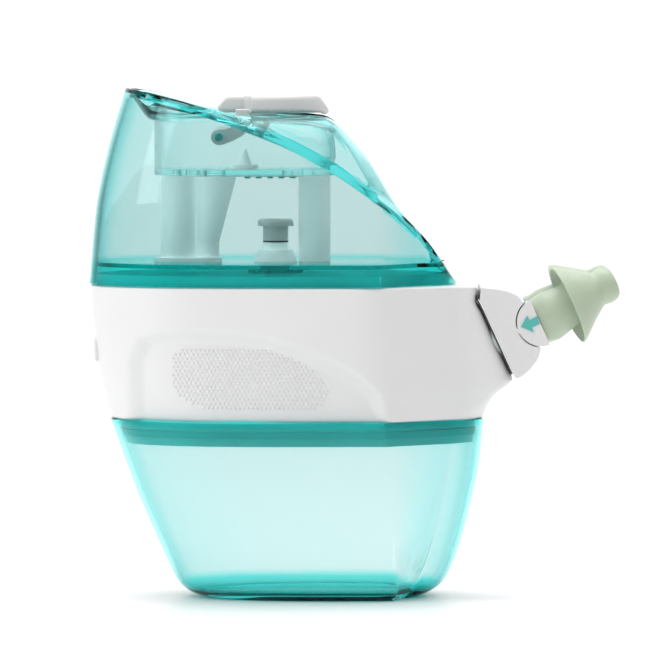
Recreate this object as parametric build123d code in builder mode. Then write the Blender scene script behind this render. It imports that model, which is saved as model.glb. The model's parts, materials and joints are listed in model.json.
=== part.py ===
from build123d import *
import os
from math import cos, radians, sin

os.makedirs("parts", exist_ok=True)

# Battery powered nasal irrigator: lower catch tank, powered body, upper saline tank with its
# capsule chamber and lever, and a removable nose dock with two soft pillows.
# Millimetres. +X is the nose end, +Z up, the tank stands on Z = 0 and Y = 0 is the middle.

# ---- driving dimensions -------------------------------------------------------------------
GAP = 0.35  # air between pieces that move apart
RUN = 0.05  # radial clearance of a pivot
TANK_WALL = 2.4
BODY_WALL = 2.3
TANK_FLOOR_Z = 128.6  # top face of the saline tank's floor
TANK_FLOOR_T = 1.6
BODY_BASE_Z = 68.9
BODY_TOP_Z = 119.9
LOWER_TOP_Z = BODY_BASE_Z - GAP
UPPER_BASE_Z = BODY_TOP_Z + GAP

CHAMBER_X = -41.4  # axis of the capsule chamber
CHAMBER_R = 34.75
CHAMBER_WALL = 2.35
CHAMBER_BASE_Z = 161.9
VALVE_X = -29.7  # axis of the tank's outlet valve
REAR_COLUMN_X = -67.1
MIXING_TOP_X = -52.3
MIXING_FOOT_X = -55.8
FRONT_COLUMN_X = -14.8

LEVER_X = -51.0  # lever pivot
LEVER_Z = 176.8
LEVER_PIN_R = 1.6

SWIVEL_X = 71.7  # nose swivel axis, along Y
SWIVEL_Z = 106.5
SWIVEL_R = 9.3
SWIVEL_HALF = 28.0
NOSE_TILT = 24.0  # rise of the nose axis above X
TOE_IN = 10.0  # turn of each pillow towards the middle
PILLOW_Y = 18.6
PARTING_BACK = 18.6  # swivel axis to the face between the dock and the body
NOSE_HALF = 28.4

BATTERY_XS = (-53.2, -38.3)
BATTERY_Z = 70.7
BATTERY_R = 7.25
BATTERY_L = 50.5
TRAY_X = -45.75
TRAY_W = 32.7
TRAY_HALF_L = 30.8
TRAY_TOP_Z = 80.0
TRAY_WALL = 1.6

MOTOR_Y = -20.0
MOTOR_Z = 94.0
PUMP_X = 15.5
CRANK_THROW = 1.2
CRANK_PIN_R = 1.5

BUTTON_Z = 95.0
BUTTON_TRAVEL = 1.0
SUCTION_X = -76.5
DRAIN_X = 28.0

BUTTON_L = 16.0
BUTTON_W = 10.0
SHAFT_R = 1.0
MOTOR_R = 12.0
COVER_HOLE_R = 4.0  # holes in the bottom cover for the suction port and the drain spout
SCREW_R = 1.4
BARB_R = 2.9  # barbs of the saline hoses
HOSE_R = 4.2
AIR_BARB_R = 1.5  # barbs of the air hose
AIR_HOSE_R = 2.6
DECK_PORT_R = 4.8

# Each row is height, back, crease, front, half width and half width of the nose end.
LOWER_ROWS = (
    (0.0, -58.0, 15.2, 25.0, 30.5, 16.5),
    (1.6, -62.5, 15.6, 29.5, 34.0, 18.5),
    (5.5, -67.2, 15.8, 34.8, 37.0, 20.5),
    (13.1, -71.2, 15.8, 38.9, 39.4, 22.0),
    (24.0, -76.2, 15.6, 42.6, 41.6, 23.4),
    (35.2, -81.2, 15.0, 45.5, 43.4, 24.5),
    (52.0, -87.7, 13.4, 48.9, 45.4, 25.6),
    (LOWER_TOP_Z, -93.4, 11.7, 50.4, 46.6, 26.4),
)
BODY_ROWS = (
    (BODY_BASE_Z, -93.3, 11.7, 50.2, 46.8, 26.4),
    (82.0, -96.4, 11.0, 49.5, 47.4, 26.8),
    (94.6, -98.5, 10.5, 48.6, 47.8, 27.0),
    (108.0, -99.9, 10.2, 47.6, 48.0, 27.0),
    (BODY_TOP_Z, -100.8, 10.0, 46.8, 48.0, 27.0),
)
UPPER_ROWS = (
    (UPPER_BASE_Z, -101.3, 10.0, 39.6, 47.8, 24.0),
    (150.0, -98.6, 9.0, 38.9, 46.8, 23.5),
    (170.0, -94.6, 8.0, 38.2, 45.8, 23.0),
    (202.0, -85.4, 6.0, 37.2, 43.8, 22.0),
)
# Tank top, back to front: distance along X, height at the middle and height at the side rims.
TOP_ROWS = (
    (-110.0, 200.0, 200.5),
    (-87.0, 196.0, 198.2),
    (-83.0, 190.8, 197.6),
    (-77.0, 184.6, 195.4),
    (-64.0, 184.4, 192.2),
    (-51.8, 185.0, 188.6),
    (-38.5, 185.4, 183.2),
    (-24.4, 185.4, 179.4),
    (-11.8, 184.6, 172.0),
    (3.9, 170.9, 160.2),
    (17.9, 149.4, 149.4),
    (28.5, 137.2, 138.4),
    (38.7, 122.6, 124.0),
    (50.0, 107.0, 107.0),
)
RIM_HALF = 46.0  # half width at which the rim heights hold

nose_u = Vector(cos(radians(NOSE_TILT)), 0, sin(radians(NOSE_TILT)))
swivel = Vector(SWIVEL_X, 0, SWIVEL_Z)


def nose_plane(along, y=0.0):
    """Plane across the nose axis, at a distance along it from the swivel axis."""
    return Plane(origin=swivel + nose_u * along + Vector(0, y, 0), x_dir=(0, 1, 0), z_dir=nose_u)


def lying_along_x(x, y, z):
    """Location that lays a cylinder along X."""
    return Location((x, y, z), (0, 90, 0))


def lying_along_y(x, y, z):
    """Location that lays a cylinder along Y."""
    return Location((x, y, z), (90, 0, 0))


def dock_pegs(along, length, radius):
    """Pair of pegs on the two dock sockets' axes, for adding or cutting away."""
    with BuildPart(mode=Mode.PRIVATE) as pegs:
        with BuildSketch(nose_plane(along)):
            with Locations((PILLOW_Y, 0), (-PILLOW_Y, 0)):
                Circle(radius)
        extrude(amount=length)
    return pegs.part


def outline(row, inset=0.0, at=None):
    """Egg-shaped plan section: rounded back, a crease on each side and a narrower front."""
    z, back, crease, front, half, nose = row
    back = back + inset
    front = front - inset
    half = half - inset
    nose = nose - inset
    depth = crease - back
    corner = front - 12.0
    with BuildSketch(Plane.XY.offset(z if at is None else at)) as section:
        with BuildLine():
            Spline(
                (crease, -half + 0.6),
                (crease - 0.40 * depth, -half),
                (crease - 0.72 * depth, -0.885 * half),
                (crease - 0.93 * depth, -0.53 * half),
                (back, 0),
                (crease - 0.93 * depth, 0.53 * half),
                (crease - 0.72 * depth, 0.885 * half),
                (crease - 0.40 * depth, half),
                (crease, half - 0.6),
            )
            Line((crease, half - 0.6), (corner, nose))
            ThreePointArc((corner, nose), (front, 0), (corner, -nose))
            Line((corner, -nose), (crease, -half + 0.6))
        make_face()
    return section.sketch


def row_at(rows, z):
    """Row of section sizes at any height, straight between the listed rows."""
    low = rows[0] if z < rows[0][0] else [r for r in rows[:-1] if r[0] <= z][-1]
    high = rows[rows.index(low) + 1]
    t = (z - low[0]) / (high[0] - low[0])
    return tuple(a + (b - a) * t for a, b in zip(low, high))


def profile_xz(points, half):
    """Side profile extruded to both sides of the middle, as a private solid."""
    with BuildPart(mode=Mode.PRIVATE) as block:
        with BuildSketch(Plane.XZ):
            with BuildLine():
                Polyline(*points, close=True)
            make_face()
        extrude(amount=half, both=True)
    return block.part


def top_height(along, across, drop=0.0):
    """Height of the tank's top: dished at the back and crowned in front."""
    for row, after in zip(TOP_ROWS, TOP_ROWS[1:]):
        if row[0] <= along <= after[0]:
            t = (along - row[0]) / (after[0] - row[0])
            middle = row[1] + (after[1] - row[1]) * t
            rim = row[2] + (after[2] - row[2]) * t
            return middle + (rim - middle) * (across / RIM_HALF) ** 2 - drop
    return TOP_ROWS[-1][1] - drop


def below_top(drop=0.0):
    """Solid under the tank's top surface, lowered by drop."""
    xs = [-110.0, -98.0, -92.0, -87.0, -83.0, -77.0, -70.0, -64.0, -58.0, -51.8, -45.0, -38.5, -31.0]
    xs += [-24.4, -18.0, -11.8, -4.0, 3.9, 11.0, 17.9, 28.5, 38.7, 50.0]
    ys = [-60, -45, -30, -15, 0, 15, 30, 45, 60]
    grid = [[Vector(x, y, top_height(x, y, drop)) for y in ys] for x in xs]
    skin = Face.make_surface_from_array_of_points(grid, tol=0.05)
    return Solid.extrude(skin, Vector(0, 0, -120))


# ================================ lower catch tank =========================================
with BuildPart() as lower_tank:
    loft(sections=[outline(row) for row in LOWER_ROWS], ruled=True)
    inner_rows = [row_at(LOWER_ROWS, 3.4)] + list(LOWER_ROWS[2:])
    mouth = outline(LOWER_ROWS[-1], TANK_WALL, LOWER_TOP_Z + 1)
    loft(
        sections=[outline(row, TANK_WALL) for row in inner_rows] + [mouth],
        ruled=True,
        mode=Mode.SUBTRACT,
    )

# ================================ powered body =============================================
nose_points = ((50.2, 70.2), (53.2, 76.9), (57.4, 80.6), (62.9, 84.3), (67.9, 88.9), (71.2, 94.2))
PARTING = ((47.9, 121.0), (47.4, 114.6), (49.7, 110.2), (61.2, 84.6), (70.0, 60.0))


def nose_block():
    """Rounded block in front of the body, which the parting face divides into chin and dock."""
    with BuildPart(mode=Mode.PRIVATE) as block:
        with BuildSketch(Plane.XZ):
            with BuildLine():
                Line((36.0, 119.5), (36.0, 72.0))
                Line((36.0, 72.0), nose_points[0])
                Spline(*nose_points, (71.5, 98.0))
                Line((71.5, 98.0), (63.6, 114.8))
                Spline((63.6, 114.8), (60.6, 117.4), (55.6, 118.8), (48.0, 119.5))
                Line((48.0, 119.5), (36.0, 119.5))
            make_face()
        extrude(amount=NOSE_HALF, both=True)
        corners = [e for e in block.edges() if abs(abs(e.center().Y) - NOSE_HALF) < 0.01]
        chamfer([e for e in corners if e.center().X > 40], length=2.2)
    return block.part


def behind_parting(shift):
    """Everything behind the parting face, moved along X by shift."""
    edge = [(x + shift, z) for x, z in PARTING]
    return profile_xz([(-120.0, 121.0)] + edge + [(-120.0, 60.0)], 60.0)


GRIP = ((-81.5, 68.0), (-81.5, 92.0), (-77.0, 99.0), (-70.0, 101.2), (-50.0, 101.6), (-34.0, 99.4),
        (-20.0, 95.2), (-6.0, 89.2), (2.0, 84.4), (8.0, 78.8), (11.0, 68.0))
CHIN_SPACE = ((30.0, 80.5), (52.5, 80.5), (57.4, 84.6), (46.6, 108.4), (44.6, 113.4), (44.9, 117.0),
              (30.0, 117.0))
GRIP_DEPTH = 3.2
GRIP_FLOOR = 47.4 - GRIP_DEPTH
SCREW_SPOTS = ((-69.0, -24.5), (-69.0, 24.5), (29.0, -20.0), (29.0, 20.0))
BOSS_TOP_Z = 84.0

with BuildPart(mode=Mode.PRIVATE) as grip_pads:
    with BuildSketch(Plane.XZ.offset(GRIP_FLOOR - BODY_WALL)):
        with BuildLine():
            Polyline(*GRIP, close=True)
        make_face()
        offset(amount=3.0)
    extrude(amount=12)
    mirror(about=Plane.XZ)

with BuildPart(mode=Mode.PRIVATE) as cavity:
    loft(
        sections=[outline(BODY_ROWS[0], BODY_WALL, BODY_BASE_Z - 1)]
        + [outline(row, BODY_WALL) for row in BODY_ROWS[1:-1]]
        + [outline(BODY_ROWS[-1], BODY_WALL, BODY_TOP_Z + 1)],
    )
    add(grip_pads.part, mode=Mode.SUBTRACT)
    add(profile_xz(CHIN_SPACE, NOSE_HALF - 3.4))
    for x, y in SCREW_SPOTS:
        reach = 1 if y > 0 else -1
        with Locations((x, y, BOSS_TOP_Z / 2 + 35)):
            Cylinder(3.4, BOSS_TOP_Z - 70, mode=Mode.SUBTRACT)
        with Locations((x, y + 7.5 * reach, BOSS_TOP_Z / 2 + 35)):
            Box(1.8, 11, BOSS_TOP_Z - 70, mode=Mode.SUBTRACT)
    with Locations((0, 0, 65)):
        Box(240, 120, 11.6, mode=Mode.ADD)

DOCK_PEG_R = 4.0
SOCKET_R = DOCK_PEG_R + GAP
SOCKET_END_T = 1.4
SOCKET_OUTER_R = 6.2
SOCKET_DEPTH = 9.0

with BuildPart() as body_casing:
    loft(sections=[outline(row) for row in BODY_ROWS])
    add(nose_block())
    add(behind_parting(0.0), mode=Mode.INTERSECT)
    with BuildSketch(Plane.XZ.offset(GRIP_FLOOR)):
        with BuildLine():
            Polyline(*GRIP, close=True)
        make_face()
    extrude(amount=12, mode=Mode.SUBTRACT)
    with BuildSketch(Plane.XZ.offset(-GRIP_FLOOR)):
        with BuildLine():
            Polyline(*GRIP, close=True)
        make_face()
    extrude(amount=-12, mode=Mode.SUBTRACT)
    add(cavity.part, mode=Mode.SUBTRACT)
    add(dock_pegs(-PARTING_BACK - 6, 12.0, SOCKET_OUTER_R), mode=Mode.SUBTRACT)
    with BuildSketch(Plane.YZ.offset(-104)):
        with Locations((0, BUTTON_Z)):
            SlotOverall(BUTTON_L + 2 * GAP, BUTTON_W + 2 * GAP)
    extrude(amount=14, mode=Mode.SUBTRACT)
    with Locations(*[(x, y, BODY_BASE_Z + 6.4) for x, y in SCREW_SPOTS]):
        Cylinder(SCREW_R, 14.0, mode=Mode.SUBTRACT)

COVER_TOP_Z = 70.6
COVER_PLATE_Z = 66.9
SKIRT_BASE_Z = 59.6
SKIRT_INSET = TANK_WALL + 1.1
GASKET_INSET = TANK_WALL + 0.65
GASKET_Z = (62.6, 65.2)


def skirt_ring(z_low, z_high, outer, inner):
    """Ring that follows the inside of the lower tank's mouth."""
    rows = [row_at(LOWER_ROWS, z) for z in (z_low, z_high)]
    with BuildPart(mode=Mode.PRIVATE) as ring:
        loft(sections=[outline(row, outer) for row in rows])
        if inner:
            loft(sections=[outline(row, inner) for row in rows], mode=Mode.SUBTRACT)
    return ring.part


with BuildPart() as bottom_cover:
    add(skirt_ring(SKIRT_BASE_Z, COVER_TOP_Z, SKIRT_INSET, None))
    add(skirt_ring(SKIRT_BASE_Z - 0.1, COVER_PLATE_Z, SKIRT_INSET + 1.8, None), mode=Mode.SUBTRACT)
    with BuildSketch(Plane.XY.offset(COVER_PLATE_Z)):
        with Locations((TRAY_X, 0)):
            Rectangle(TRAY_W, 2 * TRAY_HALF_L)
    extrude(amount=8, mode=Mode.SUBTRACT)
    with Locations((SUCTION_X, 0, 68), (DRAIN_X, 0, 68)):
        Cylinder(COVER_HOLE_R, 10, mode=Mode.SUBTRACT)
    with Locations(*[(x, y, 68) for x, y in SCREW_SPOTS]):
        Cylinder(SCREW_R, 10, mode=Mode.SUBTRACT)

with BuildPart() as tank_gasket:
    add(skirt_ring(*GASKET_Z, GASKET_INSET, SKIRT_INSET))
    add(bottom_cover.part, mode=Mode.SUBTRACT)

with BuildPart() as casing_screws:
    with Locations(*[(x, y, COVER_PLATE_Z - 0.9) for x, y in SCREW_SPOTS]):
        Cylinder(2.6, 1.8)
    with Locations(*[(x, y, COVER_PLATE_Z + 5.0) for x, y in SCREW_SPOTS]):
        Cylinder(SCREW_R, 10.0)
    with Locations(*[(x, y, COVER_PLATE_Z - 1.5) for x, y in SCREW_SPOTS]):
        Box(3.2, 0.6, 0.7, mode=Mode.SUBTRACT)
        Box(0.6, 3.2, 0.7, mode=Mode.SUBTRACT)

PLINTH_TOP_Z = 124.2
COLLAR_TOP_Z = 126.6
COLLAR_R = 10.0
SEAL_R = 8.2

with BuildPart() as top_deck:
    deck_row = row_at(BODY_ROWS, 117.4)
    loft(sections=[outline(deck_row, BODY_WALL + 0.1), outline(BODY_ROWS[-1], BODY_WALL + 0.1)])
    plinth = UPPER_ROWS[0]
    loft(sections=[outline(plinth, TANK_WALL + 0.6, z) for z in (BODY_TOP_Z, PLINTH_TOP_Z)])
    loft(
        sections=[outline(plinth, TANK_WALL + 3.0, z) for z in (117.3, PLINTH_TOP_Z - 2.2)],
        mode=Mode.SUBTRACT,
    )
    with Locations((VALVE_X, 0, 117.6)):
        Cylinder(DECK_PORT_R + 1.6, 13.2)
        Cylinder(DECK_PORT_R, 13.4, mode=Mode.SUBTRACT)
    with Locations((VALVE_X, 0, 112.6)):
        Cylinder(DECK_PORT_R + 1.6, 1.6)
    with Locations((VALVE_X, 0, 109.6)):
        Cylinder(BARB_R, 7.0)
        Cylinder(1.9, 8.0, mode=Mode.SUBTRACT)
    with Locations((VALVE_X, 0, 112.0)):
        Cylinder(1.9, 6.0, mode=Mode.SUBTRACT)
    with Locations((VALVE_X, 0, 122.2)):
        Box(2 * DECK_PORT_R + 1, 1.4, 2.0)
        Box(1.4, 2 * DECK_PORT_R + 1, 2.0)
    with Locations((VALVE_X, 0, 122.6)):
        Cylinder(1.5, 2.8)

with BuildPart() as deck_port_collar:
    with Locations((VALVE_X, 0, (PLINTH_TOP_Z + COLLAR_TOP_Z) / 2)):
        Cylinder(COLLAR_R, COLLAR_TOP_Z - PLINTH_TOP_Z)
        Cylinder(SEAL_R, COLLAR_TOP_Z - PLINTH_TOP_Z, mode=Mode.SUBTRACT)
        with PolarLocations(COLLAR_R, 36):
            Cylinder(0.5, COLLAR_TOP_Z - PLINTH_TOP_Z)

with BuildPart() as deck_port_seal:
    with Locations((VALVE_X, 0, PLINTH_TOP_Z + 1.0)):
        Cylinder(SEAL_R, 2.0)
        Cylinder(6.0, 2.0, mode=Mode.SUBTRACT)

# ---- battery compartment ------------------------------------------------------------------
with BuildPart() as battery_tray:
    with BuildSketch(Plane.XY.offset(COVER_PLATE_Z)):
        with Locations((TRAY_X, 0)):
            Rectangle(TRAY_W, 2 * TRAY_HALF_L)
    extrude(amount=TRAY_TOP_Z - COVER_PLATE_Z)
    with BuildSketch(Plane.XY.offset(COVER_PLATE_Z)):
        with Locations((TRAY_X, 0)):
            Rectangle(TRAY_W - 2 * TRAY_WALL, 2 * (TRAY_HALF_L - TRAY_WALL))
    extrude(amount=TRAY_TOP_Z - COVER_PLATE_Z - TRAY_WALL, mode=Mode.SUBTRACT)

DOOR_BASE_Z = 61.1
DOOR_TOP_Z = COVER_PLATE_Z - GAP
DOOR_CORNER_R = 3.6

with BuildPart(mode=Mode.PRIVATE) as door_space:
    with BuildSketch(Plane.XY.offset(DOOR_BASE_Z + TRAY_WALL)):
        with Locations((TRAY_X, 0)):
            Rectangle(TRAY_W - 2 * TRAY_WALL, 2 * (TRAY_HALF_L - TRAY_WALL))
    extrude(amount=8.0)
    fillet(door_space.edges().filter_by(Axis.Y).group_by(Axis.Z)[0], DOOR_CORNER_R - 1.2)

with BuildPart() as battery_door:
    with BuildSketch(Plane.XY.offset(DOOR_BASE_Z)):
        with Locations((TRAY_X, 0)):
            Rectangle(TRAY_W, 2 * TRAY_HALF_L)
    extrude(amount=DOOR_TOP_Z - DOOR_BASE_Z)
    fillet(battery_door.edges().filter_by(Axis.Y).group_by(Axis.Z)[0], DOOR_CORNER_R)
    add(door_space.part, mode=Mode.SUBTRACT)


def battery(x, turn):
    """Cell lying along Y, its button end at +Y when turn is 1 and at -Y when it is -1."""
    nub = 1.2
    end = turn * BATTERY_L / 2
    with BuildPart() as cell:
        with Locations(lying_along_y(x, -turn * nub / 2, BATTERY_Z)):
            Cylinder(BATTERY_R, BATTERY_L - nub)
        chamfer(cell.edges(), length=0.5)
        with Locations(lying_along_y(x, end - turn * nub / 2, BATTERY_Z)):
            Cylinder(2.7, nub)
    return cell


battery_1 = battery(BATTERY_XS[0], 1)
battery_2 = battery(BATTERY_XS[1], -1)

CONTACT_Y = TRAY_HALF_L - TRAY_WALL
CONTACT_T = 0.5

with BuildPart() as battery_contacts:
    for cell_x, turn in zip(BATTERY_XS, (1, -1)):
        for end in (1, -1):
            with Locations((cell_x, end * (CONTACT_Y - CONTACT_T / 2), BATTERY_Z + 1.2)):
                Box(9.0, CONTACT_T, 10.0)
        reach = CONTACT_Y - CONTACT_T - BATTERY_L / 2
        with Locations(lying_along_y(cell_x, turn * (BATTERY_L / 2 + reach / 2), BATTERY_Z)):
            Cylinder(2.6, reach)


def coil_spring(start, direction, pitch, height, radius, wire_r):
    """Wire coil that starts at a point and runs along a direction."""
    with BuildPart(mode=Mode.PRIVATE) as coil:
        with BuildLine():
            turns = Helix(pitch=pitch, height=height, radius=radius, center=start, direction=direction)
        with BuildSketch(Plane(origin=turns @ 0, z_dir=turns % 0)):
            Circle(wire_r)
        sweep(is_frenet=True)
    return coil.part


with BuildPart() as battery_springs:
    for cell_x, turn in zip(BATTERY_XS, (1, -1)):
        coil_start = (cell_x, -turn * (BATTERY_L / 2 + 0.32), BATTERY_Z)
        add(coil_spring(coil_start, (0, -turn, 0), 1.3, 2.8, 3.0, 0.3))

# ---- electronics, button ------------------------------------------------------------------
PCB_X = -88.6
with BuildPart() as pcb:
    with Locations((PCB_X + 0.8, 0, 95)):
        Box(1.6, 34, 34)
    with Locations((PCB_X + 3.1, 9, 104), (PCB_X + 3.1, -8, 86)):
        Box(3.0, 6, 6)
    with Locations(lying_along_x(PCB_X + 5.1, -9, 104)):
        Cylinder(3.0, 7.0)

with BuildPart() as micro_switch:
    with Locations((PCB_X - 1.1, 0, BUTTON_Z)):
        Box(2.2, 6, 6)
    with Locations(lying_along_x(PCB_X - 2.35, 0, BUTTON_Z)):
        Cylinder(1.3, 0.3)

BUTTON_FACE_X = -99.4
FLANGE_X = (-93.7, -92.4)
with BuildPart() as power_button:
    with BuildSketch(Plane.YZ.offset(FLANGE_X[0])):
        with Locations((0, BUTTON_Z)):
            SlotOverall(BUTTON_L, BUTTON_W)
    extrude(amount=BUTTON_FACE_X - FLANGE_X[0])
    fillet(power_button.edges().group_by(Axis.X)[0], 0.9)
    with BuildSketch(Plane.YZ.offset(FLANGE_X[0])):
        with Locations((0, BUTTON_Z)):
            SlotOverall(BUTTON_L + 2.4, BUTTON_W + 2.4)
    extrude(amount=FLANGE_X[1] - FLANGE_X[0])

with BuildPart() as button_spring:
    add(coil_spring((FLANGE_X[1] + 0.31, 0, BUTTON_Z), (1, 0, 0), 1.05, 3.15, 5.2, 0.3))

# ---- motor and vacuum pump ----------------------------------------------------------------
MOTOR_X = (-24.0, 6.0)

with BuildPart() as motor_can:
    with Locations(lying_along_x(sum(MOTOR_X) / 2, MOTOR_Y, MOTOR_Z)):
        Cylinder(MOTOR_R, MOTOR_X[1] - MOTOR_X[0])
        Cylinder(MOTOR_R - 1.2, MOTOR_X[1] - MOTOR_X[0] - 2.4, mode=Mode.SUBTRACT)
    with Locations(lying_along_x(MOTOR_X[1] + 0.8, MOTOR_Y, MOTOR_Z)):
        Cylinder(3.2, 1.6)
    with Locations(lying_along_x(0, MOTOR_Y, MOTOR_Z)):
        Cylinder(SHAFT_R + RUN, 80, mode=Mode.SUBTRACT)

with BuildPart() as motor_end_cap:
    with Locations(lying_along_x(MOTOR_X[0] - 1.5, MOTOR_Y, MOTOR_Z)):
        Cylinder(10.4, 3.0)
        Cylinder(SHAFT_R + RUN, 3.0, mode=Mode.SUBTRACT)
    for side in (1, -1):
        with Locations((MOTOR_X[0] - 4.0, MOTOR_Y + 6 * side, MOTOR_Z)):
            Box(2.0, 0.6, 3.0)

with BuildPart() as motor_rotor:
    with Locations(lying_along_x(-7.5, MOTOR_Y, MOTOR_Z)):
        Cylinder(SHAFT_R, 41.0)
    with Locations(lying_along_x(-9.0, MOTOR_Y, MOTOR_Z)):
        Cylinder(9.8, 18.0)

with BuildPart() as pump_crank:
    with Locations(lying_along_x(10.75, MOTOR_Y, MOTOR_Z)):
        Cylinder(4.6, 4.5)
    with Locations(lying_along_x(15.6, MOTOR_Y, MOTOR_Z + CRANK_THROW)):
        Cylinder(CRANK_PIN_R, 5.2)
    with Locations(lying_along_x(10.75, MOTOR_Y, MOTOR_Z)):
        Cylinder(SHAFT_R, 4.6, mode=Mode.SUBTRACT)

ROD_FOOT_Z = 81.0
with BuildPart() as pump_rod:
    with Locations(lying_along_x(PUMP_X, MOTOR_Y, MOTOR_Z)):
        Cylinder(5.0, 3.8)
    with Locations((PUMP_X, MOTOR_Y, (MOTOR_Z + ROD_FOOT_Z) / 2 - 1)):
        Box(3.8, 4.0, MOTOR_Z - ROD_FOOT_Z - 2)
    with Locations((PUMP_X, MOTOR_Y, ROD_FOOT_Z + 0.8)):
        Cylinder(4.6, 1.6)
    with Locations(lying_along_x(PUMP_X, MOTOR_Y, MOTOR_Z)):
        Cylinder(CRANK_PIN_R + CRANK_THROW + GAP, 6.0, mode=Mode.SUBTRACT)

PUMP_TOP_Z = 78.5
PUMP_SIZE = 20.0
PUMP_PORT_Z = 74.5
PUMP_BORE_R = 7.6

with BuildPart() as pump_body:
    with BuildSketch(Plane.XY.offset(COVER_TOP_Z)):
        with Locations((PUMP_X, MOTOR_Y)):
            RectangleRounded(PUMP_SIZE, PUMP_SIZE, 2.5)
    extrude(amount=PUMP_TOP_Z - COVER_TOP_Z)
    with Locations((PUMP_X, MOTOR_Y, PUMP_TOP_Z)):
        Cylinder(PUMP_BORE_R, 5.0, mode=Mode.SUBTRACT)
    for x in (PUMP_X - 5, PUMP_X + 5):
        with Locations(lying_along_y(x, MOTOR_Y + 13, PUMP_PORT_Z)):
            Cylinder(AIR_BARB_R, 6.2)
        with Locations(lying_along_y(x, MOTOR_Y + 12, PUMP_PORT_Z)):
            Cylinder(0.8, 16.0, mode=Mode.SUBTRACT)

with BuildPart() as pump_diaphragm:
    with Locations((PUMP_X, MOTOR_Y, PUMP_TOP_Z + 0.5)):
        Cylinder(9.4, 1.0)
    with Locations((PUMP_X, MOTOR_Y, PUMP_TOP_Z + 1.75)):
        Cone(6.4, 4.6, 1.5)
    with Locations((PUMP_X, MOTOR_Y, PUMP_TOP_Z + 0.9)):
        Cone(5.6, 3.6, 1.8, mode=Mode.SUBTRACT)

with BuildPart() as pump_clamp:
    with BuildSketch(Plane.XY.offset(PUMP_TOP_Z + 1.0)):
        with Locations((PUMP_X, MOTOR_Y)):
            RectangleRounded(PUMP_SIZE, PUMP_SIZE, 2.5)
            Circle(PUMP_BORE_R, mode=Mode.SUBTRACT)
    extrude(amount=1.8)

with BuildPart() as motor_cradle:
    with Locations((-9.0, MOTOR_Y, (COVER_TOP_Z + MOTOR_Z) / 2)):
        Box(16.0, 20.0, MOTOR_Z - COVER_TOP_Z)
        Box(11.0, 15.0, MOTOR_Z - COVER_TOP_Z - 10, mode=Mode.SUBTRACT)
    with Locations(lying_along_x(-9.0, MOTOR_Y, MOTOR_Z)):
        Cylinder(MOTOR_R, 40.0, mode=Mode.SUBTRACT)

# ---- ports and hoses ----------------------------------------------------------------------
with BuildPart() as suction_port:
    with Locations((SUCTION_X, 0, 67.0)):
        Cylinder(COVER_HOLE_R, 7.2)
    with Locations((SUCTION_X, 0, 73.2)):
        Cylinder(AIR_BARB_R, 6.0)
    with Locations((SUCTION_X, 0, 62.9)):
        Cylinder(6.3, 6.6)
        Cylinder(5.0, 6.6, mode=Mode.SUBTRACT)
    with Locations((SUCTION_X, 0, 66.2)):
        Cylinder(6.3, 1.4)
    with Locations((SUCTION_X, 0, 70.0)):
        Cylinder(0.8, 20.0, mode=Mode.SUBTRACT)

with BuildPart() as drain_spout:
    with Locations((DRAIN_X, 0, 68.0)):
        Cylinder(COVER_HOLE_R, 5.2)
    with Locations((DRAIN_X, 0, 74.0)):
        Cylinder(BARB_R, 7.0)
    with Locations((DRAIN_X, 0, 63.2)):
        Cone(9.4, 5.6, 7.2)
    with Locations((DRAIN_X, 0, 62.6)):
        Cone(8.2, 4.4, 6.0, mode=Mode.SUBTRACT)
    with Locations((DRAIN_X, 0, 70.0)):
        Cylinder(2.1, 30.0, mode=Mode.SUBTRACT)

with BuildPart() as dock_receptacle:
    add(dock_pegs(-PARTING_BACK - SOCKET_DEPTH - SOCKET_END_T, SOCKET_DEPTH + SOCKET_END_T, SOCKET_OUTER_R))
    with BuildSketch(nose_plane(-PARTING_BACK - 5.6)):
        RectangleRounded(2 * (NOSE_HALF - 4.2), 15.0, 3.0)
    extrude(amount=2.0)
    add(dock_pegs(-PARTING_BACK - SOCKET_DEPTH, SOCKET_DEPTH, SOCKET_R), mode=Mode.SUBTRACT)
    add(dock_pegs(-PARTING_BACK - SOCKET_DEPTH - 8.4, 7.2, BARB_R))
    add(dock_pegs(-PARTING_BACK - SOCKET_DEPTH - 8.4, 12.0, 2.0), mode=Mode.SUBTRACT)


def hose(points, bend_r, bore_r, outer_r):
    """Flexible tube along straight runs joined by round bends."""
    with BuildPart() as tube:
        with BuildLine() as route:
            FilletPolyline(*points, radius=bend_r)
        with BuildSketch(Plane(origin=route.line @ 0, z_dir=route.line % 0)):
            Circle(outer_r)
            Circle(bore_r, mode=Mode.SUBTRACT)
        sweep()
    return tube


def socket_end(side, back=0.0):
    """Point on a dock socket's axis, at or behind the inner end of its barb."""
    reach = PARTING_BACK + SOCKET_DEPTH + SOCKET_END_T + back
    return swivel - nose_u * reach + Vector(0, side * PILLOW_Y, 0)


supply_hose = hose(
    [Vector(VALVE_X, 0, 111.0), Vector(VALVE_X, 0, 99.0), socket_end(1, 15.0), socket_end(1)],
    9.0,
    BARB_R,
    HOSE_R,
)
drain_hose = hose(
    [socket_end(-1), socket_end(-1, 11.5), Vector(DRAIN_X, 0, 84.0), Vector(DRAIN_X, 0, 70.8)],
    5.5,
    BARB_R,
    HOSE_R,
)
suction_hose = hose(
    [
        Vector(PUMP_X - 5, MOTOR_Y + 11.2, PUMP_PORT_Z),
        Vector(PUMP_X - 5, 4.0, PUMP_PORT_Z),
        Vector(-2.0, 4.0, 84.0),
        Vector(SUCTION_X, 0, 84.0),
        Vector(SUCTION_X, 0, 71.0),
    ],
    4.5,
    AIR_BARB_R,
    AIR_HOSE_R,
)

# ================================ upper saline tank ========================================
VALVE_HOLE_R = 5.4
MIXING_HOLE_R = 2.4
INNER_HEIGHTS = (TANK_FLOOR_Z, 150.0, 170.0, 200.0)

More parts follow.
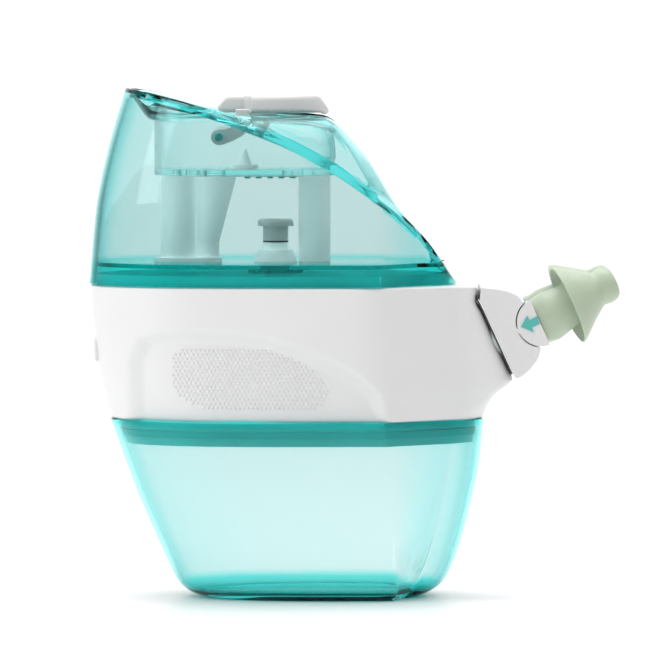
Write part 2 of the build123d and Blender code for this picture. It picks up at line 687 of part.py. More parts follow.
with BuildPart(mode=Mode.PRIVATE) as saline_space:
    loft(sections=[outline(row_at(UPPER_ROWS, z), TANK_WALL) for z in INNER_HEIGHTS])
    add(below_top(TANK_WALL * 1.15), mode=Mode.INTERSECT)

with BuildPart() as upper_tank_shell:
    loft(sections=[outline(row) for row in UPPER_ROWS])
    add(below_top(), mode=Mode.INTERSECT)
    add(saline_space.part, mode=Mode.SUBTRACT)
    skirt_low = row_at(UPPER_ROWS, UPPER_BASE_Z)
    skirt_high = row_at(UPPER_ROWS, TANK_FLOOR_Z - TANK_FLOOR_T)
    loft(
        sections=[outline(skirt_low, TANK_WALL, UPPER_BASE_Z - 0.5), outline(skirt_high, TANK_WALL)],
        mode=Mode.SUBTRACT,
    )
    with Locations((CHAMBER_X, 0, 185)):
        Cylinder(CHAMBER_R, 60, mode=Mode.SUBTRACT)
    with Locations((VALVE_X, 0, TANK_FLOOR_Z)):
        Cylinder(VALVE_HOLE_R, 8, mode=Mode.SUBTRACT)
    with Locations((MIXING_FOOT_X, 0, TANK_FLOOR_Z)):
        Cylinder(MIXING_HOLE_R, 8, mode=Mode.SUBTRACT)

MARK_T = 0.5
MARK_RANGE_Z = (150.0, 170.0)
mark_row = row_at(UPPER_ROWS, 160.0)
with BuildPart(mode=Mode.PRIVATE) as inside_wall:
    loft(sections=[outline(mark_row, TANK_WALL, z) for z in MARK_RANGE_Z])
    loft(sections=[outline(mark_row, TANK_WALL + MARK_T, z) for z in MARK_RANGE_Z], mode=Mode.SUBTRACT)

with BuildPart() as fill_mark:
    for k in range(10):
        with BuildSketch(Plane.XZ.offset(-42.0)):
            with Locations((-41.0 + 2.2 * k, 159.8 + 0.6 * (k % 2))):
                Rectangle(2.3, 0.9)
        extrude(amount=-9.0)
    add(upper_tank_shell.part, mode=Mode.SUBTRACT)
    add(inside_wall.part, mode=Mode.INTERSECT)

CHAMBER_FLOOR_T = 2.4
DRAIN_HOLE_R = 4.0  # four holes let the chamber and the tank share their saline
DRAIN_CIRCLE_R = 25.0

with BuildPart() as pod_chamber:
    with BuildSketch(Plane.XY.offset(CHAMBER_BASE_Z)):
        with Locations((CHAMBER_X, 0)):
            Circle(CHAMBER_R)
    extrude(amount=34)
    with BuildSketch(Plane.XY.offset(CHAMBER_BASE_Z + CHAMBER_FLOOR_T)):
        with Locations((CHAMBER_X, 0)):
            Circle(CHAMBER_R - CHAMBER_WALL)
    extrude(amount=40, mode=Mode.SUBTRACT)
    add(below_top(), mode=Mode.INTERSECT)
    with Locations((MIXING_TOP_X, 0, CHAMBER_BASE_Z + 1)):
        Cylinder(4.0, 6, mode=Mode.SUBTRACT)
    with Locations((REAR_COLUMN_X, 0, CHAMBER_BASE_Z + 1)):
        Cylinder(3.6, 6, mode=Mode.SUBTRACT)
    with Locations((CHAMBER_X, 0, CHAMBER_BASE_Z + 1)):
        with PolarLocations(DRAIN_CIRCLE_R, 4, start_angle=45):
            Cylinder(DRAIN_HOLE_R, 6, mode=Mode.SUBTRACT)
    with Locations(lying_along_y(LEVER_X, 0, LEVER_Z)):
        Cylinder(LEVER_PIN_R, 2 * 33.0, mode=Mode.SUBTRACT)

COLUMN_FOOT_T = 1.5
COLUMN_BASE_Z = TANK_FLOOR_Z + COLUMN_FOOT_T
with BuildPart() as column_foot:
    with BuildSketch(Plane.XY.offset(TANK_FLOOR_Z)):
        with Locations(((REAR_COLUMN_X + MIXING_FOOT_X) / 2 - 1.8, 0)):
            SlotOverall(26.0, 16.0)
        with Locations((MIXING_FOOT_X, 0)):
            Circle(MIXING_HOLE_R, mode=Mode.SUBTRACT)
    extrude(amount=COLUMN_FOOT_T)

with BuildPart() as rear_column:
    with BuildSketch(Plane.XY.offset(COLUMN_BASE_Z)):
        with Locations((REAR_COLUMN_X, 0)):
            Circle(6.9)
            Circle(5.3, mode=Mode.SUBTRACT)
    extrude(amount=CHAMBER_BASE_Z - COLUMN_BASE_Z)

TUBE_NECK_Z = 136.0
with BuildPart() as mixing_tube:
    for low_r, top_r, mode in ((4.4, 7.8, Mode.ADD), (3.0, 6.4, Mode.SUBTRACT)):
        with BuildSketch(Plane.XY.offset(TUBE_NECK_Z)):
            with Locations((MIXING_FOOT_X, 0)):
                Circle(low_r)
        with BuildSketch(Plane.XY.offset(CHAMBER_BASE_Z)):
            with Locations((MIXING_TOP_X, 0)):
                Circle(top_r)
        loft(mode=mode)
        with BuildSketch(Plane.XY.offset(COLUMN_BASE_Z)):
            with Locations((MIXING_FOOT_X, 0)):
                Circle(low_r)
        extrude(amount=TUBE_NECK_Z - COLUMN_BASE_Z, mode=mode)

with BuildPart() as front_column:
    with BuildSketch(Plane.XY.offset(TANK_FLOOR_Z)):
        with Locations((FRONT_COLUMN_X, 0)):
            Circle(6.15)
            Circle(4.6, mode=Mode.SUBTRACT)
    extrude(amount=CHAMBER_BASE_Z - TANK_FLOOR_Z)

with BuildPart() as floor_piercer:
    with BuildSketch(Plane.XY.offset(CHAMBER_BASE_Z + CHAMBER_FLOOR_T)):
        with Locations((CHAMBER_X, 0)):
            Circle(5.0)
    extrude(amount=1.4)
    with Locations((CHAMBER_X, 0, CHAMBER_BASE_Z + CHAMBER_FLOOR_T + 1.4 + 3.0)):
        Cone(2.6, 0.4, 6.0)

# ---- outlet valve -------------------------------------------------------------------------
SEAT_TOP_Z = 135.8
STEM_BORE_R = 3.0
STEM_R = STEM_BORE_R - RUN
STEM_LOW_Z = 124.6
FLOOR_LOW_Z = TANK_FLOOR_Z - TANK_FLOOR_T

with BuildPart() as valve_seat:
    with Locations((VALVE_X, 0, (FLOOR_LOW_Z + TANK_FLOOR_Z) / 2)):
        Cylinder(VALVE_HOLE_R, TANK_FLOOR_T)
    with Locations((VALVE_X, 0, TANK_FLOOR_Z + 2.2)):
        Cone(8.6, 6.6, 4.4)
    with Locations((VALVE_X, 0, (TANK_FLOOR_Z + SEAT_TOP_Z) / 2)):
        Cylinder(4.6, SEAT_TOP_Z - TANK_FLOOR_Z)
    for k in range(3):
        with Locations((VALVE_X, 0, 133.6 + 0.85 * k)):
            Cylinder(4.9, 0.45)
    with Locations((VALVE_X, 0, (FLOOR_LOW_Z + 133.4) / 2)):
        Cylinder(4.2, 133.4 - FLOOR_LOW_Z, mode=Mode.SUBTRACT)
    with Locations((VALVE_X, 0, 134)):
        Cylinder(STEM_BORE_R, 6, mode=Mode.SUBTRACT)

with BuildPart() as valve_plunger:
    with Locations((VALVE_X, 0, 139.5)):
        Cylinder(4.9, 5.8)
    with Locations((VALVE_X, 0, 143.6)):
        Cylinder(6.9, 2.8)
    fillet(valve_plunger.edges().group_by(Axis.Z)[-1], 1.6)
    with Locations((VALVE_X, 0, (STEM_LOW_Z + 136.6) / 2)):
        Cylinder(STEM_R, 136.6 - STEM_LOW_Z)
    with Locations((VALVE_X, 0, 131.0)):
        with PolarLocations(STEM_BORE_R, 4):
            Cylinder(0.7, 10.0, mode=Mode.SUBTRACT)
    with Locations((VALVE_X, 0, STEM_LOW_Z + 0.5)):
        Cylinder(3.85, 1.0)

with BuildPart() as valve_seal:
    with Locations((VALVE_X, 0, 136.3)):
        Cylinder(4.8, 0.6)
        Cylinder(3.2, 0.6, mode=Mode.SUBTRACT)

with BuildPart() as valve_spring:
    add(coil_spring((VALVE_X, 0, STEM_LOW_Z + 1.3), (0, 0, 1), 1.75, 7.0, 3.5, 0.25))

# ---- lever lid ----------------------------------------------------------------------------
LID_LOW_Z = 185.9
LID_TOP_Z = 192.7
LID_R = 33.4
LID_SIDE = ((-51.7, 184.0), (-51.7, 188.6), (-48.6, 192.0), (-46.6, LID_TOP_Z + 0.1),
            (-13.5, LID_TOP_Z + 0.1), (-10.6, 190.9), (-9.3, 187.6), (-9.3, 185.2), (-11.6, 185.2),
            (-12.4, LID_LOW_Z), (-20.0, 184.0))
ARM_Y = (24.0, 27.0)
ARM_SIDE = ((-39.0, LID_LOW_Z + 1), (-39.0, 181.5), (-42.0, 177.2), (-49.5, 173.8), (-52.5, 175.0),
            (-52.5, 179.2), (-47.0, 180.2), (-44.8, 183.0), (-44.8, 186.4), (-41.4, 189.6), (-39.0, 189.6))

with BuildPart() as lever_lid:
    with BuildSketch(Plane.XY.offset(LID_LOW_Z)):
        with Locations((CHAMBER_X, 0)):
            Circle(LID_R)
        with Locations((-75.0, 0)):
            Rectangle(70.0, 80.0, mode=Mode.SUBTRACT)
        with Locations((-45.0, 0)):
            Rectangle(13.4, 35.0)
    extrude(amount=LID_TOP_Z - LID_LOW_Z)
    add(profile_xz(LID_SIDE, 40), mode=Mode.INTERSECT)
    with BuildSketch(Plane.XY.offset(LID_TOP_Z)):
        with Locations((-26.0, 0)):
            SlotOverall(22.0, 12.0, rotation=90)
    extrude(amount=-1.2, mode=Mode.SUBTRACT)
    for side in (1, -1):
        with BuildSketch(Plane.XZ.offset(side * ARM_Y[0])):
            with BuildLine():
                Polyline(*ARM_SIDE, close=True)
            make_face()
        extrude(amount=side * (ARM_Y[1] - ARM_Y[0]))
        with Locations(lying_along_y(LEVER_X, -side * sum(ARM_Y) / 2, LEVER_Z)):
            Cylinder(3.15, ARM_Y[1] - ARM_Y[0])
    with Locations(lying_along_y(LEVER_X, 0, LEVER_Z)):
        Cylinder(LEVER_PIN_R + RUN, 80, mode=Mode.SUBTRACT)

with BuildPart() as lid_piercer:
    with BuildSketch(Plane.XY.offset(LID_LOW_Z)):
        with Locations((-34.0, 0)):
            Circle(5.0)
    extrude(amount=-1.4)
    with Locations(Location((-34.0, 0, LID_LOW_Z - 4.4), (180, 0, 0))):
        Cone(2.4, 0.4, 6.0)

with BuildPart() as hinge_pins:
    for side in (1, -1):
        with Locations(lying_along_y(LEVER_X, side * 28.3, LEVER_Z)):
            Cylinder(LEVER_PIN_R, 9.4)

# ================================ nose dock ================================================
DOCK_GAP = 0.7
AXLE_R = 1.5
AXLE_L = 13.0
LUG_HALF = 2.4
LUG_EYE_R = 3.2
DOCK_SPACE = ((51.6, 112.2), (64.0, 85.8), (67.4, 91.0), (60.0, 99.0), (59.0, 108.0), (61.5, 114.0),
              (53.0, 116.2))
SEAL_SEAT = -PARTING_BACK - 5.0
SEAL_INNER_R = 3.3
SEAL_T = 1.5

with BuildPart(mode=Mode.PRIVATE) as dock_space:
    add(profile_xz(DOCK_SPACE, NOSE_HALF - 2.6))
    add(dock_pegs(-30.0, 40.0, 6.4), mode=Mode.SUBTRACT)
    with BuildSketch(nose_plane(-30.0)):
        Rectangle(6.0, 60.0)
    extrude(amount=40.0, mode=Mode.SUBTRACT)

with BuildPart() as nose_dock:
    add(nose_block())
    add(behind_parting(DOCK_GAP), mode=Mode.SUBTRACT)
    with Locations(lying_along_y(SWIVEL_X, 0, SWIVEL_Z)):
        Cylinder(SWIVEL_R + 0.4, 80, mode=Mode.SUBTRACT)
    add(dock_space.part, mode=Mode.SUBTRACT)
    with Locations(lying_along_y(SWIVEL_X, 0, SWIVEL_Z)):
        Cylinder(LUG_EYE_R, 2 * LUG_HALF)
    with Locations(Location(tuple(swivel + nose_u * -6.5), (0, -NOSE_TILT, 0))):
        Box(13, 2 * LUG_HALF, 5.0)
    add(dock_pegs(-PARTING_BACK - 7.0, 9.0, DOCK_PEG_R))
    add(dock_pegs(-PARTING_BACK - 7.0, 20.0, 2.2), mode=Mode.SUBTRACT)
    with Locations(lying_along_y(SWIVEL_X, 0, SWIVEL_Z)):
        Cylinder(AXLE_R + RUN, 20, mode=Mode.SUBTRACT)
    with BuildSketch(nose_plane(SEAL_SEAT)):
        with Locations((PILLOW_Y, 0), (-PILLOW_Y, 0)):
            Circle(DOCK_PEG_R + 1)
            Circle(SEAL_INNER_R, mode=Mode.SUBTRACT)
    extrude(amount=SEAL_T, mode=Mode.SUBTRACT)

with BuildPart() as dock_seals:
    add(dock_pegs(SEAL_SEAT, SEAL_T, DOCK_PEG_R))
    add(dock_pegs(SEAL_SEAT, SEAL_T, SEAL_INNER_R), mode=Mode.SUBTRACT)


def pillow_plane(side, along=0.0):
    """Plane across one pillow's own axis, its normal along the axis."""
    turn = radians(TOE_IN)
    axis = nose_u * cos(turn) + Vector(0, -side * sin(turn), 0)
    across = Vector(0, cos(turn), 0) + nose_u * (side * sin(turn))
    base = swivel + nose_u * -2.2 + Vector(0, side * PILLOW_Y, 0)
    return Plane(origin=base + axis * along, x_dir=across, z_dir=axis)


SPIGOT_R = 4.0
SPIGOT_BORE_R = 2.6
HUB_R = 5.4
with BuildPart() as swivel_barrel:
    with Locations(lying_along_y(SWIVEL_X, 0, SWIVEL_Z)):
        Cylinder(SWIVEL_R, 2 * SWIVEL_HALF)
    for side in (1, -1):
        with BuildSketch(pillow_plane(side)):
            with Locations((side * 10, 0)):
                Rectangle(56.0, 40.0)
        extrude(amount=20, mode=Mode.SUBTRACT)
    for side in (1, -1):
        with BuildSketch(pillow_plane(side, -2.0)):
            Circle(SPIGOT_R)
        extrude(amount=12.0)
        with BuildSketch(pillow_plane(side, -14.0)):
            Circle(SPIGOT_BORE_R)
        extrude(amount=26.0, mode=Mode.SUBTRACT)
    with Locations(lying_along_y(SWIVEL_X, 0, SWIVEL_Z)):
        Cylinder(HUB_R, 15.0)
    with Locations(Location(tuple(swivel + nose_u * (LUG_EYE_R + GAP - 15)), (0, -NOSE_TILT, 0))):
        Box(30, 2 * (LUG_HALF + GAP), 40, mode=Mode.SUBTRACT)
    with Locations(lying_along_y(SWIVEL_X, 0, SWIVEL_Z)):
        Cylinder(AXLE_R, AXLE_L, mode=Mode.SUBTRACT)

with BuildPart() as swivel_axle:
    with Locations(lying_along_y(SWIVEL_X, 0, SWIVEL_Z)):
        Cylinder(AXLE_R, AXLE_L)

ARROW = ((-7.8, -1.9), (-5.4, 2.4), (-4.6, 0.6), (-1.6, 2.2), (-0.6, -0.8), (-3.6, -2.2), (-2.9, -4.1))
ARROW_T = 0.3

with BuildPart() as flow_arrows:
    for side in (1, -1):
        face_at = (SWIVEL_X, -side * (SWIVEL_HALF + ARROW_T), SWIVEL_Z)
        with BuildSketch(Plane(origin=face_at, x_dir=(1, 0, 0), z_dir=(0, -side, 0))):
            with BuildLine():
                Polyline(*ARROW, close=True)
            make_face()
        extrude(amount=-ARROW_T)

PILLOW_BORE_R = SPIGOT_R + RUN
PILLOW_OUTSIDE = ((8.8, GAP), (9.5, 5.5), (8.6, 12.6), (12.2, 13.2), (12.6, 14.6), (12.2, 17.0),
                  (8.8, 24.6), (6.9, 27.0), (7.0, 30.2), (6.2, 33.0), (4.5, 34.5))
PILLOW_BORE = ((3.0, 34.5), (3.0, 28.0), (4.6, 22.0), (4.6, 14.0), (PILLOW_BORE_R, 11.0),
               (PILLOW_BORE_R, GAP))
FLANGE = ((6.0, 12.9), (15.2, 14.0), (15.4, 15.2), (15.2, 16.9), (8.4, 24.4), (6.0, 24.4))
FLANGE_SQUEEZE = 0.83  # the flange is oval, narrower across the nose


def turned(profile):
    """Closed profile of radius and height points turned about Z, as a private solid."""
    with BuildPart(mode=Mode.PRIVATE) as body:
        with BuildSketch(Plane.XZ):
            with BuildLine():
                Polyline(*profile, close=True)
            make_face()
        revolve(axis=Axis.Z)
    return body.part


def pillow(side):
    """Soft nose pillow: hub on its spigot, an oval flange and a rounded tip."""
    flange = scale(turned(FLANGE), by=(FLANGE_SQUEEZE, 1.0, 1.0), mode=Mode.PRIVATE)
    placed = pillow_plane(side).location * (turned(PILLOW_OUTSIDE + PILLOW_BORE) + flange)
    with BuildPart() as soft:
        add(placed)
    return soft


nasal_pillow_left = pillow(1)
nasal_pillow_right = pillow(-1)

# ================================ export ===================================================
pieces = {
    "lower_tank": lower_tank,
    "body_casing": body_casing,
    "bottom_cover": bottom_cover,
    "tank_gasket": tank_gasket,
    "casing_screws": casing_screws,
    "top_deck": top_deck,
    "deck_port_collar": deck_port_collar,
    "deck_port_seal": deck_port_seal,
    "battery_tray": battery_tray,
    "battery_door": battery_door,
    "battery_1": battery_1,
    "battery_2": battery_2,
    "battery_contacts": battery_contacts,
    "battery_springs": battery_springs,
    "pcb": pcb,
    "micro_switch": micro_switch,
    "power_button": power_button,
    "button_spring": button_spring,
    "motor_can": motor_can,
    "motor_end_cap": motor_end_cap,
    "motor_rotor": motor_rotor,
    "motor_cradle": motor_cradle,
    "pump_crank": pump_crank,
    "pump_rod": pump_rod,
    "pump_body": pump_body,
    "pump_diaphragm": pump_diaphragm,
    "pump_clamp": pump_clamp,
    "suction_port": suction_port,
    "drain_spout": drain_spout,
    "dock_receptacle": dock_receptacle,
    "supply_hose": supply_hose,
    "drain_hose": drain_hose,
    "suction_hose": suction_hose,
    "upper_tank_shell": upper_tank_shell,
    "fill_mark": fill_mark,
    "pod_chamber": pod_chamber,
    "column_foot": column_foot,
    "rear_column": rear_column,
    "mixing_tube": mixing_tube,
    "front_column": front_column,
    "floor_piercer": floor_piercer,
    "valve_seat": valve_seat,
    "valve_plunger": valve_plunger,
    "valve_seal": valve_seal,
    "valve_spring": valve_spring,
    "lever_lid": lever_lid,
    "lid_piercer": lid_piercer,
    "hinge_pins": hinge_pins,
    "nose_dock": nose_dock,
    "dock_seals": dock_seals,
    "swivel_barrel": swivel_barrel,
    "swivel_axle": swivel_axle,
    "flow_arrows": flow_arrows,
    "nasal_pillow_left": nasal_pillow_left,
    "nasal_pillow_right": nasal_pillow_right,
}
for name, piece in pieces.items():
    piece.part.label = name
    export_step(piece.part, f"parts/{name}.step")
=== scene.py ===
import json
from math import cos, hypot, pi, radians, sin

import bmesh
import bpy
from mathutils import Matrix, Vector


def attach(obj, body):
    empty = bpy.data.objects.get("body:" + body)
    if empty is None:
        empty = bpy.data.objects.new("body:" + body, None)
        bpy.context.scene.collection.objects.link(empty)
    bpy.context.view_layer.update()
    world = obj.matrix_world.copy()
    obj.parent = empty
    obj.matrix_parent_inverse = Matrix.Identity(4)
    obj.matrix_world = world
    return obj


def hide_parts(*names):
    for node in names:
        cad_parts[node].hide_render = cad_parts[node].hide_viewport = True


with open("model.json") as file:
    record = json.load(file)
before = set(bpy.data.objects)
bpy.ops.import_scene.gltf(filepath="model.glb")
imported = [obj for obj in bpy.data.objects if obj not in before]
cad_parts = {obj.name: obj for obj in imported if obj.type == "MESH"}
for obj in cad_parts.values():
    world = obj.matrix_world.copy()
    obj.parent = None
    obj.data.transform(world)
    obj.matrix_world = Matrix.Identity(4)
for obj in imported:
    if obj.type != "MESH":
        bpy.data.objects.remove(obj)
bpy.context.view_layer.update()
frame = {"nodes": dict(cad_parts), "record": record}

MM = 0.001

# ---- sizes shared with the CAD frame, in millimetres ---------------------------------------
BODY_BASE_Z, BODY_TOP_Z = 68.9, 119.9
LOWER_TOP_Z = 68.55
UPPER_BASE_Z = 120.25
TANK_FLOOR_Z = 128.6
TANK_WALL = 2.4
CHAMBER_X, CHAMBER_R = -41.4, 34.75
SWIVEL_X, SWIVEL_Z, SWIVEL_R = 71.7, 106.5, 9.3
NOSE_TILT, TOE_IN, PILLOW_Y = 24.0, 10.0, 18.6
NOSE_HALF = 28.4  # half width of the body's chin and of the dock

# Rows: height, back, crease, front, half width, half width of the nose end.
LOWER_ROWS = (
    (0.0, -58.0, 15.2, 25.0, 30.5, 16.5),
    (1.6, -62.5, 15.6, 29.5, 34.0, 18.5),
    (5.5, -67.2, 15.8, 34.8, 37.0, 20.5),
    (13.1, -71.2, 15.8, 38.9, 39.4, 22.0),
    (24.0, -76.2, 15.6, 42.6, 41.6, 23.4),
    (35.2, -81.2, 15.0, 45.5, 43.4, 24.5),
    (52.0, -87.7, 13.4, 48.9, 45.4, 25.6),
    (LOWER_TOP_Z, -93.4, 11.7, 50.4, 46.6, 26.4),
)
BODY_ROWS = (
    (BODY_BASE_Z, -93.3, 11.7, 50.2, 46.8, 26.4),
    (82.0, -96.4, 11.0, 49.5, 47.4, 26.8),
    (94.6, -98.5, 10.5, 48.6, 47.8, 27.0),
    (108.0, -99.9, 10.2, 47.6, 48.0, 27.0),
    (BODY_TOP_Z, -100.8, 10.0, 46.8, 48.0, 27.0),
)
UPPER_ROWS = (
    (UPPER_BASE_Z, -101.3, 10.0, 39.6, 47.8, 24.0),
    (150.0, -98.6, 9.0, 38.9, 46.8, 23.5),
    (170.0, -94.6, 8.0, 38.2, 45.8, 23.0),
    (202.0, -85.4, 6.0, 37.2, 43.8, 22.0),
)
# Saline tank's top: distance along X and height, in the middle and at the rim.
TOP_ROWS = (
    (-110.0, 196.2), (-87.0, 196.0), (-83.0, 190.8), (-77.0, 185.2), (-64.0, 184.6),
    (-51.8, 185.2), (-38.5, 185.4), (-24.4, 185.4), (-11.8, 184.6), (3.9, 170.9),
    (17.9, 149.4), (28.5, 137.2), (38.7, 122.6), (50.0, 107.0),
)
RIM_ROWS = (
    (-110.0, 196.2), (-87.0, 196.2), (-82.5, 195.7), (-66.0, 191.9), (-51.8, 187.4),
    (-38.5, 182.4), (-24.4, 176.6), (-7.1, 167.0), (6.0, 157.9), (17.9, 148.1),
    (28.5, 136.9), (38.7, 122.3), (50.0, 107.0),
)
# Front of the body with its chin: height and distance along X of the front face.
CHIN = ((68.9, 50.2), (71.0, 50.8), (74.0, 51.8), (77.0, 53.4), (80.0, 56.4), (82.6, 59.9), (84.0, 61.1),
        (84.8, 60.9), (97.0, 55.4), (109.8, 49.6), (114.6, 47.2), (119.9, 47.6))
# Finger grip in side view: the rim of the hollow and the field of raised dots in it.
GRIP = ((-84.0, 60.0), (-84.0, 92.0), (-79.5, 99.5), (-71.0, 101.6), (-50.0, 101.6), (-34.0, 99.4),
        (-20.0, 95.2), (-6.0, 89.2), (2.0, 84.4), (8.0, 78.8), (12.0, 69.0), (12.0, 60.0))
GRIP_DEPTH = 3.3
GRIP_LIP = 6.4
GRIP_MIN_HALF = 20.0  # the grips press into the sides only, not into the front or back
DOT_AREA = ((-68.7, 81.0), (-68.7, 94.0), (-64.8, 96.9), (-34.0, 96.9), (-24.0, 93.8), (-14.0, 87.3),
            (-8.7, 81.5), (-11.0, 77.0), (-14.0, 73.9), (-57.0, 73.9), (-64.0, 77.4))


# ---- small maths ---------------------------------------------------------------------------
def smooth_value(table, at, column):
    """Value of a table's column at a height, on a smooth curve through its rows."""
    n = len(table)
    i = 0
    while i < n - 2 and at > table[i + 1][0]:
        i += 1
    low, high = table[i], table[i + 1]
    step = high[0] - low[0]
    t = min(1.0, max(0.0, (at - low[0]) / step))

    def slope(k):
        if k == 0:
            return (table[1][column] - table[0][column]) / (table[1][0] - table[0][0])
        if k == n - 1:
            return (table[-1][column] - table[-2][column]) / (table[-1][0] - table[-2][0])
        left = (table[k][column] - table[k - 1][column]) / (table[k][0] - table[k - 1][0])
        right = (table[k + 1][column] - table[k][column]) / (table[k + 1][0] - table[k][0])
        return 0.0 if left * right <= 0 else 2 * left * right / (left + right)

    a, b, m0, m1 = low[column], high[column], slope(i) * step, slope(i + 1) * step
    t2, t3 = t * t, t * t * t
    return (2 * t3 - 3 * t2 + 1) * a + (t3 - 2 * t2 + t) * m0 + (3 * t2 - 2 * t3) * b + (t3 - t2) * m1


def row_at(table, at):
    """All columns of a table at a height."""
    return [at] + [smooth_value(table, at, k) for k in range(1, len(table[0]))]


def smoothstep(low, high, value):
    """0 below low, 1 above high, and an eased rise between them."""
    t = min(1.0, max(0.0, (value - low) / (high - low)))
    return t * t * (3 - 2 * t)


def curve_through(points, per_span):
    """Points on a smooth open curve through the given ones."""
    out = []
    for i in range(len(points) - 1):
        p0 = Vector(points[max(i - 1, 0)])
        p1, p2 = Vector(points[i]), Vector(points[i + 1])
        p3 = Vector(points[min(i + 2, len(points) - 1)])
        for k in range(per_span):
            t = k / per_span
            out.append(
                0.5 * (2 * p1 + (p2 - p0) * t + (2 * p0 - 5 * p1 + 4 * p2 - p3) * t * t
                       + (3 * p1 - p0 - 3 * p2 + p3) * t ** 3)
            )
    out.append(Vector(points[-1]))
    return out


def even_points(points, count):
    """The same closed line, divided evenly into count points."""
    loop = list(points) + [points[0]]
    lengths = [0.0]
    for a, b in zip(loop, loop[1:]):
        lengths.append(lengths[-1] + (b - a).length)
    out = []
    j = 0
    for k in range(count):
        want = lengths[-1] * k / count
        while lengths[j + 1] < want:
            j += 1
        span = lengths[j + 1] - lengths[j]
        out.append(loop[j].lerp(loop[j + 1], (want - lengths[j]) / span if span else 0.0))
    return out


def softened(points, rounds):
    """Closed line with its corners rounded off a little."""
    for _ in range(rounds):
        n = len(points)
        points = [(points[k - 1] + 2 * points[k] + points[(k + 1) % n]) / 4 for k in range(n)]
    return points


def inside_distance(x, z, polygon):
    """Distance to a closed outline, positive inside."""
    best, inside = 1e9, False
    n = len(polygon)
    for k in range(n):
        x1, z1 = polygon[k]
        x2, z2 = polygon[(k + 1) % n]
        dx, dz = x2 - x1, z2 - z1
        t = min(1.0, max(0.0, ((x - x1) * dx + (z - z1) * dz) / (dx * dx + dz * dz)))
        best = min(best, hypot(x - x1 - t * dx, z - z1 - t * dz))
        if (z1 > z) != (z2 > z) and x < (x2 - x1) * (z - z1) / (z2 - z1) + x1:
            inside = not inside
    return best if inside else -best


# ---- outlines ------------------------------------------------------------------------------
BACK_SPAN, SIDE_SPAN, FRONT_SPAN = 22, 16, 24
AROUND = 360
CREASE_X, CHIN_KINK_X = 9.0, 38.0


def plan(row, inset=0.0, square=2.0, kink=None):
    """Egg-shaped plan outline of a shell at one height, from the back point round to it again.

    square is the squareness of the front; kink is where the front part starts along X.
    """
    back, crease, front, half, nose = row[1] + inset, row[2], row[3] - inset, row[4] - inset, row[5] - inset
    depth = crease - back
    corner = max(front - 12.0, crease + 0.4 * (front - crease)) if kink is None else kink
    half_back = curve_through(
        [(back + 0.07 * depth, -0.53 * half), (back, 0.0), (back + 0.07 * depth, 0.53 * half),
         (crease - 0.72 * depth, 0.885 * half), (crease - 0.40 * depth, half), (crease, half - 0.6),
         (crease + 8.0, half - 3.2)],
        BACK_SPAN,
    )[BACK_SPAN:-BACK_SPAN]
    fold, chin = Vector((crease, half - 0.6)), Vector((corner, nose))
    side = [fold.lerp(chin, k / SIDE_SPAN) for k in range(1, SIDE_SPAN + 1)]
    nose_curve = []
    for k in range(1, FRONT_SPAN + 1):
        angle = pi / 2 * (1 - k / FRONT_SPAN)
        power = 2.0 / square
        along = abs(cos(angle)) ** power
        nose_curve.append(Vector((corner + (front - corner) * along, nose * abs(sin(angle)) ** power)))
    nose_curve[-1] = Vector((front, 0.0))
    half_line = [Vector(p) for p in half_back] + side + nose_curve
    other = [Vector((p.x, -p.y)) for p in reversed(half_line[1:-1])]
    return half_line + other


def shell_row(points, rounds=3):
    """The outline as AROUND even points, a little rounded."""
    return softened(even_points(points, AROUND), rounds)


def tank_row(rows, z, inset=0.0):
    """Evenly divided wall outline of a tank at one height."""
    return shell_row(plan(row_at(rows, z), inset))


def without_crease(points, centre_x, reach, rounds):
    """Outline with the fold on each side, around centre_x, eased into a long curve."""
    for _ in range(rounds):
        n = len(points)
        eased = []
        for k, p in enumerate(points):
            mean = (points[k - reach] + points[(k + reach) % n]) / 2
            near = 1 - smoothstep(8.0, 28.0, abs(p.x - centre_x))
            eased.append(p.lerp(mean, 0.5 * near))
        points = eased
    return points


def body_outline(z, inset=0.0):
    """Body section: egg shaped at the bottom, with a squarer chin in front higher up."""
    row = row_at(BODY_ROWS, z)
    grown = smoothstep(70.0, 82.0, z)
    row[3] = smooth_value(CHIN, z, 1)
    row[5] = row[5] + (NOSE_HALF - row[5]) * grown
    folded = shell_row(plan(row, inset, 2.0 + 6.0 * grown, CHIN_KINK_X), 4)
    eased = smoothstep(69.5, 77.0, z)
    return [p.lerp(q, eased) for p, q in zip(folded, without_crease(folded, CREASE_X, 4, 4))]


def middle_height(x):
    """Height of the tank's top along its middle."""
    return smooth_value(TOP_ROWS, x, 1)


def rim_height(x):
    """Height of the crease between the tank's wall and its top."""
    return smooth_value(RIM_ROWS, x, 1)


# ---- mesh building -------------------------------------------------------------------------
def make_object(name, verts, faces, sharp=40.0):
    """Smooth-shaded mesh from points in millimetres; edges sharper than an angle stay crisp."""
    mesh = bpy.data.meshes.new(name)
    mesh.from_pydata([Vector(v) * MM for v in verts], [], faces)
    mesh.validate()
    for polygon in mesh.polygons:
        polygon.use_smooth = True
    mesh.set_sharp_from_angle(angle=radians(sharp))
    obj = bpy.data.objects.new(name, mesh)
    bpy.context.scene.collection.objects.link(obj)
    return obj


def fix_normals(obj):
    """Joins doubled points and turns all faces outwards."""
    bm = bmesh.new()
    bm.from_mesh(obj.data)
    bmesh.ops.remove_doubles(bm, verts=bm.verts, dist=1e-7)
    bmesh.ops.recalc_face_normals(bm, faces=bm.faces)
    bm.to_mesh(obj.data)
    bm.free()


